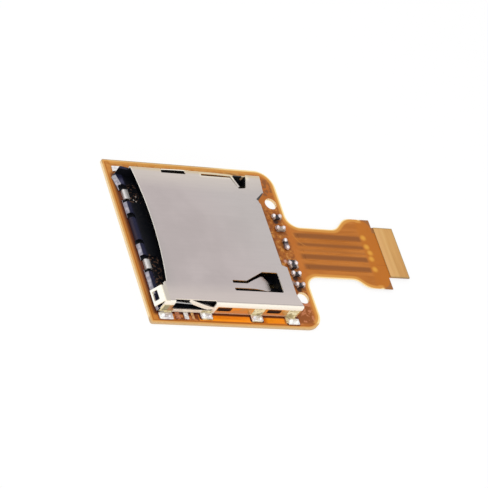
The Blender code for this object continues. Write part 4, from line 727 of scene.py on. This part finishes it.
# Places on the moulding: the far end's shine, the pale specks, the lip's dark middle, the windows.
SHINE_PLACE = (-13.9, 11.9)
DUST_SPECKS = ((-11.7, 9.3), (-12.3, 8.6), (-11.9, 8.3), (-13.6, -4.2))
LIP_MIDDLE_Y = (-0.6, 4.9)
FAR_WINDOW_Y = (7.6, 11.5)
NEAR_WINDOW_Y = (-9.0, -2.8)


def moulding():
    """Black moulding, slightly blue, with painted reflections of white on its front faces and the
    post's chamfer, and dusty specks in its windows.
    """
    s = Shader("black_satin_moulding")
    x, y, z = s.axes("XYZ")
    nx, nz = s.normals("XZ")
    patches = s.noise(1.6 * MM, 4, 0.65)
    grain = s.noise(0.09 * MM, 3, 0.7)
    base = s.mix(patches, *MOULDING_TONES)
    lip = s.smooth(x, -12.9, -13.6) * s.smooth(nz, 0.3, 0.9) * s.smooth(z, 0.9, 1.2)
    base = s.mix(lip, base, s.mix(patches, *LIP_TONES))
    shine = s.spot(x, y, SHINE_PLACE, 0.1, 1.0) * lip
    base = s.mix(shine * 0.5, base, LIP_SHINE)
    # Painted reflections of the white surroundings on the front faces, with a dark tone in the lip's
    # middle.
    facing = s.smooth(nx, -0.5, -0.8) * s.smooth(x, -14.1, -14.3) * s.smooth(z, 0.56, 0.75)
    pale = s.mix(s.smooth(s.noise(0.6 * MM, 3, 0.6), 0.4, 0.6), *LIP_FACE_REFLECTION_TONES)
    lip_middle = s.band(y, *LIP_MIDDLE_Y, 0.1)
    base = s.mix(facing * (1 - lip_middle), base, pale)
    base = s.mix(facing * lip_middle, base, LIP_MIDDLE_TONE)
    # Painted reflection on the post's chamfer.
    post = s.smooth(y, 12.6, 12.9) * s.smooth(x, -13.0, -13.2) * s.smooth(nz, 0.95, 0.8)
    base = s.mix(post * s.smooth(nx, -0.1, -0.4), base, POST_CHAMFER_REFLECTION)
    windows = s.band(y, *FAR_WINDOW_Y, 0.2) + s.band(y, *NEAR_WINDOW_Y, 0.2)
    windows = s.band(x, -13.6, -11.4, 0.1) * windows
    specks = s.smooth(s.noise(0.42 * MM, 2, 0.5), 0.56, 0.64)
    base = s.mix(s.clamp(windows) * specks * 0.8, base, DUST_BROWN)
    for middle in DUST_SPECKS:
        base = s.mix(s.spot(x, y, middle, 0.06, 0.16), base, DUST_PALE)
    rough = 0.4 + patches * 0.16
    return s.finish(base, rough, bump=grain + patches * 0.5, depth=0.006, specular_ior_level=0.16)


def contact_gold():
    """The thin gold on the contacts and the switch blades."""
    s = Shader("gold_plated_spring")
    patches = s.noise(0.8 * MM, 3, 0.6)
    colour = s.mix(patches, (0.78, 0.55, 0.22), (0.88, 0.70, 0.36))
    return s.finish(colour, 0.22 + patches * 0.12, 1.0, bump=patches, depth=0.004)


def spring_wire():
    """The bright wire of the coil and the follower."""
    s = Shader("bright_spring_wire")
    patches = s.noise(0.6 * MM, 3, 0.6)
    colour = s.mix(patches, (0.46, 0.46, 0.47), (0.70, 0.69, 0.67))
    return s.finish(colour, 0.2 + patches * 0.12, 1.0, bump=patches, depth=0.003)


def slider_plastic():
    """The slider's dark moulding, with a fine grain."""
    s = Shader("dark_slider_moulding")
    patches = s.noise(1.2 * MM, 4, 0.6)
    grain = s.noise(0.1 * MM, 2, 0.7)
    colour = s.mix(patches, (0.014, 0.013, 0.015), (0.035, 0.033, 0.036))
    return s.finish(colour, 0.4 + grain * 0.15, bump=grain, depth=0.005)


# Tones of the small parts, and from where to where along y the pale and the turned one lie.
CHIP_TONES = ((0.010, 0.009, 0.012), (0.045, 0.035, 0.038))
CHIP_END_TONES = ((0.30, 0.17, 0.10), (0.52, 0.42, 0.36))
PALE_CHIP_TONES = ((0.30, 0.22, 0.15), (0.50, 0.42, 0.36))
TURNED_CHIP_TONE = (0.30, 0.24, 0.26)
PALE_CHIP_Y = (3.9, 5.2)
TURNED_CHIP_Y = (0.3, 2.4)


def chip_finish():
    """The dark body of a small part, with its tinned ends."""
    s = Shader("dark_ceramic")
    x, y = s.axes("XY")
    patches = s.noise(0.3 * MM, 3, 0.6)
    colour = s.mix(patches, *CHIP_TONES)
    turned = s.band(y, *TURNED_CHIP_Y, 0.01)
    across = abs(x - CHIP_X) * (1 - turned) + abs(y - CHIPS_Y[TURNED_CHIP]) * turned
    ends = s.smooth(across, 0.42, 0.5)
    colour = s.mix(ends, colour, s.mix(patches, *CHIP_END_TONES))
    pale = s.band(y, *PALE_CHIP_Y, 0.05)
    colour = s.mix(pale * 0.8, colour, s.mix(patches, *PALE_CHIP_TONES))
    near_half = s.band(y, *TURNED_CHIP_Y, 0.05) * s.smooth(y, 1.6, 0.9)
    colour = s.mix(near_half, colour, TURNED_CHIP_TONE)
    return s.finish(colour, 0.35 + patches * 0.2, bump=patches, depth=0.01, specular_ior_level=0.3)


def solder_finish(name, light, dark):
    """Bright solder, wrinkled where it froze."""
    s = Shader(name)
    wrinkle = s.noise(0.3 * MM, 4, 0.6)
    patches = s.noise(0.9 * MM, 3, 0.6)
    colour = s.mix(s.smooth(patches, 0.35, 0.65), light, dark)
    return s.finish(colour, 0.25 + wrinkle * 0.2, 0.55, bump=wrinkle, depth=0.035)


STEEL = cover_steel()
BRIGHT_STEEL = tab_steel()
AMBER = film_amber()
BACKING = backing_sheet()
PLUG_TAN = plug_backing()
MOULDING = moulding()
GOLD = contact_gold()
SPRING_STEEL = spring_wire()
SLIDER = slider_plastic()
CERAMIC = chip_finish()
SOLDER = solder_finish("bright_solder", (0.95, 0.96, 0.93), (0.66, 0.62, 0.64))
BEAD_SOLDER = solder_finish("soft_solder", (0.90, 0.84, 0.84), (0.66, 0.56, 0.56))
RED_SOLDER = solder_finish("copper_toned_pad", (0.62, 0.26, 0.13), (0.30, 0.09, 0.05))
GOLD_SOLDER = solder_finish("gold_toned_pad", (0.85, 0.55, 0.22), (0.45, 0.20, 0.09))


# How near two points are to be one, how little a bend counts as flat, and how much as an edge.
MERGE_DISTANCE = 0.001 * MM
FLAT_ANGLE = math.radians(0.6)
EDGE_ANGLE = math.radians(28)

# How wide the edges are rounded, in millimetres.
SHEET_EDGE = 0.03
SMALL_EDGE = 0.04
MOULDED_EDGE = 0.05


def paint(material, *nodes):
    """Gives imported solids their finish."""
    for node in nodes:
        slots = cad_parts[node].data.materials
        slots.clear()
        slots.append(material)


def select_only(piece):
    """Selects one piece and nothing else."""
    bpy.ops.object.select_all(action="DESELECT")
    piece.select_set(True)
    bpy.context.view_layer.objects.active = piece


def settle(piece, name, body, slot, material, *nodes):
    """Names a finished piece, puts its place in its mesh, and says what it rides on and replaces."""
    select_only(piece)
    bpy.ops.object.transform_apply(location=True, rotation=True, scale=True)
    piece.name = name
    piece.data.materials.clear()
    piece.data.materials.append(material)
    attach(piece, body)
    if nodes:
        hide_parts(*nodes)
    return piece


def merged_copy(node, flatten=True):
    """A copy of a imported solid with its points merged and, if asked, its flat faces joined up."""
    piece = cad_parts[node].copy()
    piece.data = piece.data.copy()
    piece.parent = None
    for key in list(piece.keys()):
        del piece[key]
    bpy.context.scene.collection.objects.link(piece)
    select_only(piece)
    if flatten:
        bpy.ops.mesh.customdata_custom_splitnormals_clear()
    bpy.ops.object.mode_set(mode="EDIT")
    bpy.ops.mesh.select_all(action="SELECT")
    bpy.ops.mesh.remove_doubles(threshold=MERGE_DISTANCE)
    if flatten:
        bpy.ops.mesh.dissolve_limited(angle_limit=FLAT_ANGLE)
    bpy.ops.mesh.select_all(action="DESELECT")
    bpy.ops.object.mode_set(mode="OBJECT")
    return piece


def move_points(piece, chosen, shift=(0, 0, 0), scale=(1, 1, 1), middle=(0, 0, 0)):
    """Scales the points that a test picks about a middle, then shifts them, all in millimetres."""
    for vertex in piece.data.vertices:
        vertex.select = bool(chosen(*(part / MM for part in vertex.co)))
    select_only(piece)
    bpy.ops.object.mode_set(mode="EDIT")
    bpy.ops.mesh.select_mode(type="VERT")
    bpy.ops.transform.resize(value=scale, center_override=[part * MM for part in middle])
    bpy.ops.transform.translate(value=[part * MM for part in shift])
    bpy.ops.mesh.select_all(action="DESELECT")
    bpy.ops.object.mode_set(mode="OBJECT")


# The near leaf in the cover's side, and the height of its lower edge over the film at its root.
LEAF_ROOT_X = -4.35
LEAF_LENGTH = 4.9
LEAF_TIP_X = -9.25
LEAF_BOTTOM = 1.3
LEAF_CLIMB = 1.05
LEAF_DROP = 0.42
LEAF_TIP_SHIFT = 0.12

# The ear's window: the middles of its outer and inner outline, how it is stretched and moved.
EAR_OUTLINES_X = (-14.856, -14.645)
EAR_WINDOW_Y = -12.025
EAR_WINDOW_Z = 2.51
EAR_SLANT = 0.612
EAR_STRETCH = (0.74, 1.42, 0.74)
EAR_SHIFT = (-0.12, 0.15, -0.2)

# The far slot's inner edge and the corner of the far window.
FAR_SLOT_Y = 13.05
FAR_SLOT_SHIFT = -0.3
FAR_CORNER = (8.6, 10.53)
FAR_CORNER_SHIFT = (0.55, 0.15, 0)


def refined_cuts(piece):
    """Brings the cover's cut shapes to their real outlines: leaf, ear window and far openings."""

    def leaf_edge(x, y, z):
        along = (LEAF_ROOT_X - x) / LEAF_LENGTH
        edge = FILM_TOP + LEAF_BOTTOM + LEAF_CLIMB * along
        return 0.1 < along < 0.9 and y < -12.6 and abs(z - edge) < 0.06

    def leaf_tip(x, y, z):
        return abs(x - LEAF_TIP_X) < 0.05 and -13.1 < y < -12.8 and z > 2.8

    def ear_outline(inner):
        def chosen(x, y, z):
            on_ear = x < -14.25 and -12.75 < y < -11.3 and 1.9 < z < 3.1
            behind = x - EAR_OUTLINES_X[0] > (z - EAR_WINDOW_Z) * EAR_SLANT + 0.1
            return on_ear and behind == inner

        return chosen

    def far_slot(x, y, z):
        return -7.2 < x < -2.1 and abs(y - FAR_SLOT_Y) < 0.02 and z > 3.2

    def far_corner(x, y, z):
        return abs(x - FAR_CORNER[0]) < 0.05 and abs(y - FAR_CORNER[1]) < 0.05 and z > 3.2

    move_points(piece, leaf_edge, shift=(0, 0, -LEAF_DROP))
    move_points(piece, leaf_tip, shift=(0, -LEAF_TIP_SHIFT, 0))
    for inner, outline_x in zip((False, True), EAR_OUTLINES_X):
        middle = (outline_x, EAR_WINDOW_Y, EAR_WINDOW_Z)
        move_points(piece, ear_outline(inner), EAR_SHIFT, EAR_STRETCH, middle)
    move_points(piece, far_slot, shift=(0, FAR_SLOT_SHIFT, 0))
    move_points(piece, far_corner, shift=FAR_CORNER_SHIFT)


# The corner behind which the far front post of the moulding lies, and how far it moves out.
POST_CORNER = (-13.6, 12.9)
POST_SHIFT = (-0.6, 0.3, 0)


def fuller_post(piece):
    """Brings the far front post of the moulding out to its real place."""

    def post(x, y, z):
        return x < POST_CORNER[0] and y > POST_CORNER[1]

    move_points(piece, post, shift=POST_SHIFT)


# How near the head's shoulders the fillets' points lie, and how much wider the fillets become.
FILLET_NEAR = 0.36
FILLET_GROWTH = 3.4


def film_circuit():
    """The film, with the shoulders of its head rounded as widely as they really are."""
    piece = merged_copy("flex_circuit")
    for middle in SHOULDERS:
        def fillet(x, y, z):
            return math.hypot(x - middle[0], y - middle[1]) < FILLET_NEAR

        move_points(piece, fillet, scale=(FILLET_GROWTH, FILLET_GROWTH, 1), middle=(*middle, 0))
    bpy.ops.object.shade_flat()
    return settle(piece, "film_circuit", "socket", "amber_film", AMBER, "flex_circuit")


def softened(node, name, body, slot, material, width, change=None):
    """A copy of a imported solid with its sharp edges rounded, which stands for it."""
    piece = merged_copy(node)
    if change:
        change(piece)
    bpy.ops.object.shade_smooth()
    bevel = piece.modifiers.new("edges", "BEVEL")
    bevel.harden_normals = True
    bevel.width = width * MM
    bevel.segments = 2
    bevel.limit_method = "ANGLE"
    bevel.angle_limit = EDGE_ANGLE
    bpy.ops.object.modifier_apply(modifier=bevel.name)
    return settle(piece, name, body, slot, material, node)


# How a lump of solder is shaped: its edges' rounding, its unevenness, how deep it sits in the film.
LUMP_CORNER = 0.4
LUMP_UNEVENNESS = 0.035 * MM
LUMP_SINK = 0.03

# The bead's underside, as shares of its height: where it is cut off, and how high its middle sits.
BEAD_CUT = 0.2
BEAD_RISE = 0.18


def frozen_lump(place, size, seed):
    """A rounded, slightly uneven lump of solder that stands on the film."""
    bpy.ops.object.select_all(action="DESELECT")
    x, y = place
    middle = (x * MM, y * MM, (FILM_TOP + size[2] / 2 - LUMP_SINK) * MM)
    bpy.ops.mesh.primitive_cube_add(size=MM, location=middle)
    piece = bpy.context.object
    piece.scale = size
    bpy.ops.object.transform_apply(location=True, rotation=True, scale=True)
    bpy.ops.object.mode_set(mode="EDIT")
    bpy.ops.mesh.select_all(action="SELECT")
    bpy.ops.mesh.bevel(offset=LUMP_CORNER * min(size) * MM, segments=3, affect="EDGES")
    bpy.ops.mesh.subdivide(number_cuts=1)
    bpy.ops.transform.vertex_random(offset=LUMP_UNEVENNESS, uniform=0.6, normal=0.4, seed=seed)
    bpy.ops.mesh.vertices_smooth(factor=0.5, repeat=1)
    bpy.ops.object.mode_set(mode="OBJECT")
    finer = piece.modifiers.new("finer", "SUBSURF")
    finer.levels = 1
    finer.render_levels = 1
    bpy.ops.object.modifier_apply(modifier=finer.name)
    bpy.ops.object.shade_smooth()
    return piece


def round_bead(x, y, radius, height):
    """A smooth bead of solder, flat under it."""
    bpy.ops.object.select_all(action="DESELECT")
    bpy.ops.mesh.primitive_uv_sphere_add(segments=20, ring_count=12, radius=MM, location=(0, 0, 0))
    piece = bpy.context.object
    bpy.ops.object.mode_set(mode="EDIT")
    bpy.ops.mesh.select_all(action="SELECT")
    under = (0, 0, -BEAD_CUT * MM)
    bpy.ops.mesh.bisect(plane_co=under, plane_no=(0, 0, 1), use_fill=True, clear_inner=True)
    bpy.ops.mesh.select_all(action="SELECT")
    bpy.ops.transform.resize(value=(radius, radius, height))
    bpy.ops.transform.translate(value=(x * MM, y * MM, (FILM_TOP + BEAD_RISE * height) * MM))
    bpy.ops.object.mode_set(mode="OBJECT")
    bpy.ops.object.shade_smooth()
    return piece


def joined(pieces):
    """Several meshes as one."""
    bpy.ops.object.select_all(action="DESELECT")
    for piece in pieces:
        piece.select_set(True)
    bpy.context.view_layer.objects.active = pieces[0]
    bpy.ops.object.join()
    return pieces[0]


# Seeds of the lumps' unevenness, and the foot that has solder spilt beside it.
FOOT_SEED = 3
SPILL_SEED = 40
PAD_SEED = 60
FAR_FRONT_FOOT = 4

# Sizes of the lumps, and where they lie.
FIRST_LUMP = (2.6, 1.3, 0.4)
FOOT_LUMP = (2.2, 1.15, 0.4)
SPILL_LUMP = (1.9, 1.15, 0.3)
NEAR_TOE = 0.55
FAR_TOES_Y = 14.7
SPILL_Y = 15.05


def foot_solder():
    """The solder round each foot's toe."""
    places = [(x, y + NEAR_TOE) for x, y in NEAR_PADS] + [(x, FAR_TOES_Y) for x in FAR_FEET_X]
    for k, (x, y) in enumerate(places):
        size = FIRST_LUMP if k == 0 else FOOT_LUMP
        pieces = [frozen_lump((x, y), size, FOOT_SEED + k)]
        pieces.append(round_bead(x - 0.6, y + 0.1, 0.42, 0.4))
        pieces.append(round_bead(x + 0.55, y - 0.1, 0.36, 0.36))
        if k == FAR_FRONT_FOOT:
            pieces.append(frozen_lump((x - 2.0, SPILL_Y), SPILL_LUMP, SPILL_SEED))
        name = "foot_solder_%d" % (k + 1)
        settle(joined(pieces), name, "socket", "solder", SOLDER, "solder_%d" % (k + 1))


def chip_solder():
    """The bright solder at both ends of each small part."""
    for k, y in enumerate(CHIPS_Y):
        pieces = []
        for side in (-1, 1):
            if k == TURNED_CHIP:
                pieces.append(round_bead(CHIP_X, y + side * 0.75, 0.42, 0.5))
            else:
                pieces.append(round_bead(CHIP_X - 0.05 + side * 0.62, y + 0.16, 0.42, 0.56))
        settle(joined(pieces), "chip_%d_ends" % (k + 1), "socket", "solder", BEAD_SOLDER)


def near_pads():
    """Three small soldered pads between the near feet."""
    looks = ((-10.75, 0.9, RED_SOLDER), (-9.1, 0.85, SOLDER), (-7.85, 0.55, GOLD_SOLDER))
    for k, (x, width, material) in enumerate(looks):
        piece = frozen_lump((x, -14.45), (width, 1.3, 0.28), PAD_SEED + k)
        settle(piece, "near_pad_%d" % (k + 1), "socket", "solder", material)


def eject_coil():
    """The coil, on a mesh of its own; the real one shortens as the slider comes back towards the rear
    wall.
    """
    piece = merged_copy("eject_spring", flatten=False)
    bpy.ops.object.shade_smooth()
    settle(piece, "eject_coil", "socket", "spring_steel", SPRING_STEEL, "eject_spring")
    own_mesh(piece)


paint(GOLD, *CONTACTS, *BLADES)
paint(BACKING, "board_stiffener")
paint(PLUG_TAN, "plug_stiffener")
paint(SPRING_STEEL, "cam_follower")
softened("cover", "folded_cover", "socket", "cover_steel", STEEL, SHEET_EDGE, change=refined_cuts)
softened(
    "base_housing", "moulded_housing", "socket", "black_moulding",
    MOULDING, MOULDED_EDGE, change=fuller_post,
)
softened("eject_slider", "moulded_slider", "slider", "slider_moulding", SLIDER, MOULDED_EDGE)
for node in TABS:
    softened(node, node + "_rounded", "socket", "spring_steel", BRIGHT_STEEL, SMALL_EDGE)
for k in range(1, len(CHIPS_Y) + 1):
    softened("chip_%d" % k, "small_part_%d" % k, "socket", "chip_ceramic", CERAMIC, SMALL_EDGE)
film_circuit()
foot_solder()
chip_solder()
near_pads()
eject_coil()


def white_floor():
    """A pale floor under the part that keeps its shadow."""
    bpy.ops.mesh.primitive_plane_add(size=3.0, location=(0, 0, -FLOOR_DROP))
    floor = bpy.context.object
    floor.name = "floor"
    s = Shader("pale_floor")
    s.surface.inputs["Base Color"].default_value = (0.9, 0.9, 0.9, 1)
    s.surface.inputs["Roughness"].default_value = 0.9
    ray = s.tree.nodes.new("ShaderNodeLightPath").outputs
    seen = Wire(s, ray["Is Camera Ray"]) + Wire(s, ray["Is Glossy Ray"])
    seen = seen + Wire(s, ray["Is Transmission Ray"])
    glow = s.node("ShaderNodeEmission", None, {"Color": (1.0, 1.0, 1.0), "Strength": FLOOR_WHITE})
    shares = [s.clamp(seen) * FLOOR_SHARE, s.surface.outputs[0], glow]
    white = s.node("ShaderNodeMixShader", None, shares)
    s.put(s.tree.nodes["Material Output"].inputs["Surface"], white)
    floor.data.materials.append(s.material)


def world_light():
    """Plain white all round: full strength where the camera or a reflection sees it."""
    world = bpy.data.worlds.new("studio")
    bpy.context.scene.world = world
    world.use_nodes = True
    tree = world.node_tree
    back = tree.nodes["Background"]
    back.inputs["Color"].default_value = (1.0, 1.0, 1.0, 1.0)
    path = tree.nodes.new("ShaderNodeLightPath")
    first = tree.nodes.new("ShaderNodeMath")
    first.operation = "MAXIMUM"
    tree.links.new(path.outputs["Is Camera Ray"], first.inputs[0])
    tree.links.new(path.outputs["Is Glossy Ray"], first.inputs[1])
    strength = tree.nodes.new("ShaderNodeMapRange")
    strength.inputs["To Min"].default_value = WORLD_LIGHT
    strength.inputs["To Max"].default_value = WORLD_SEEN
    tree.links.new(first.outputs[0], strength.inputs["Value"])
    tree.links.new(strength.outputs[0], back.inputs["Strength"])


def soft_lamp(name, place, size, watts):
    """A square lamp, aimed at the part."""
    light = bpy.data.lights.new(name, "AREA")
    light.shape = "SQUARE"
    light.size = size
    light.energy = watts
    lamp = bpy.data.objects.new(name, light)
    bpy.context.scene.collection.objects.link(lamp)
    lamp.location = place
    lamp.rotation_euler = (Vector(LAMP_TARGET) - Vector(place)).to_track_quat("-Z", "Y").to_euler()


def camera():
    """The camera, at the photograph's place and angle."""
    data = bpy.data.cameras.new("camera")
    data.lens = CAMERA_LENS
    data.sensor_width = CAMERA_SENSOR
    data.clip_start = 0.01
    data.clip_end = 10
    eye = bpy.data.objects.new("camera", data)
    bpy.context.scene.collection.objects.link(eye)
    right = Vector(CAMERA_RIGHT).normalized()
    up = Vector(CAMERA_UP)
    up = (up - right * up.dot(right)).normalized()
    back = right.cross(up)
    turn = Matrix((right, up, back)).transposed().to_4x4()
    eye.matrix_world = Matrix.Translation(CAMERA_PLACE) @ turn
    bpy.context.scene.camera = eye


white_floor()
world_light()
soft_lamp("overhead", place=(-0.10, 0.12, 0.45), size=0.5, watts=0.55)
soft_lamp("near_side", place=(-0.15, -0.35, 0.25), size=0.25, watts=0.5)
camera()
bpy.context.scene.view_settings.view_transform = "Standard"
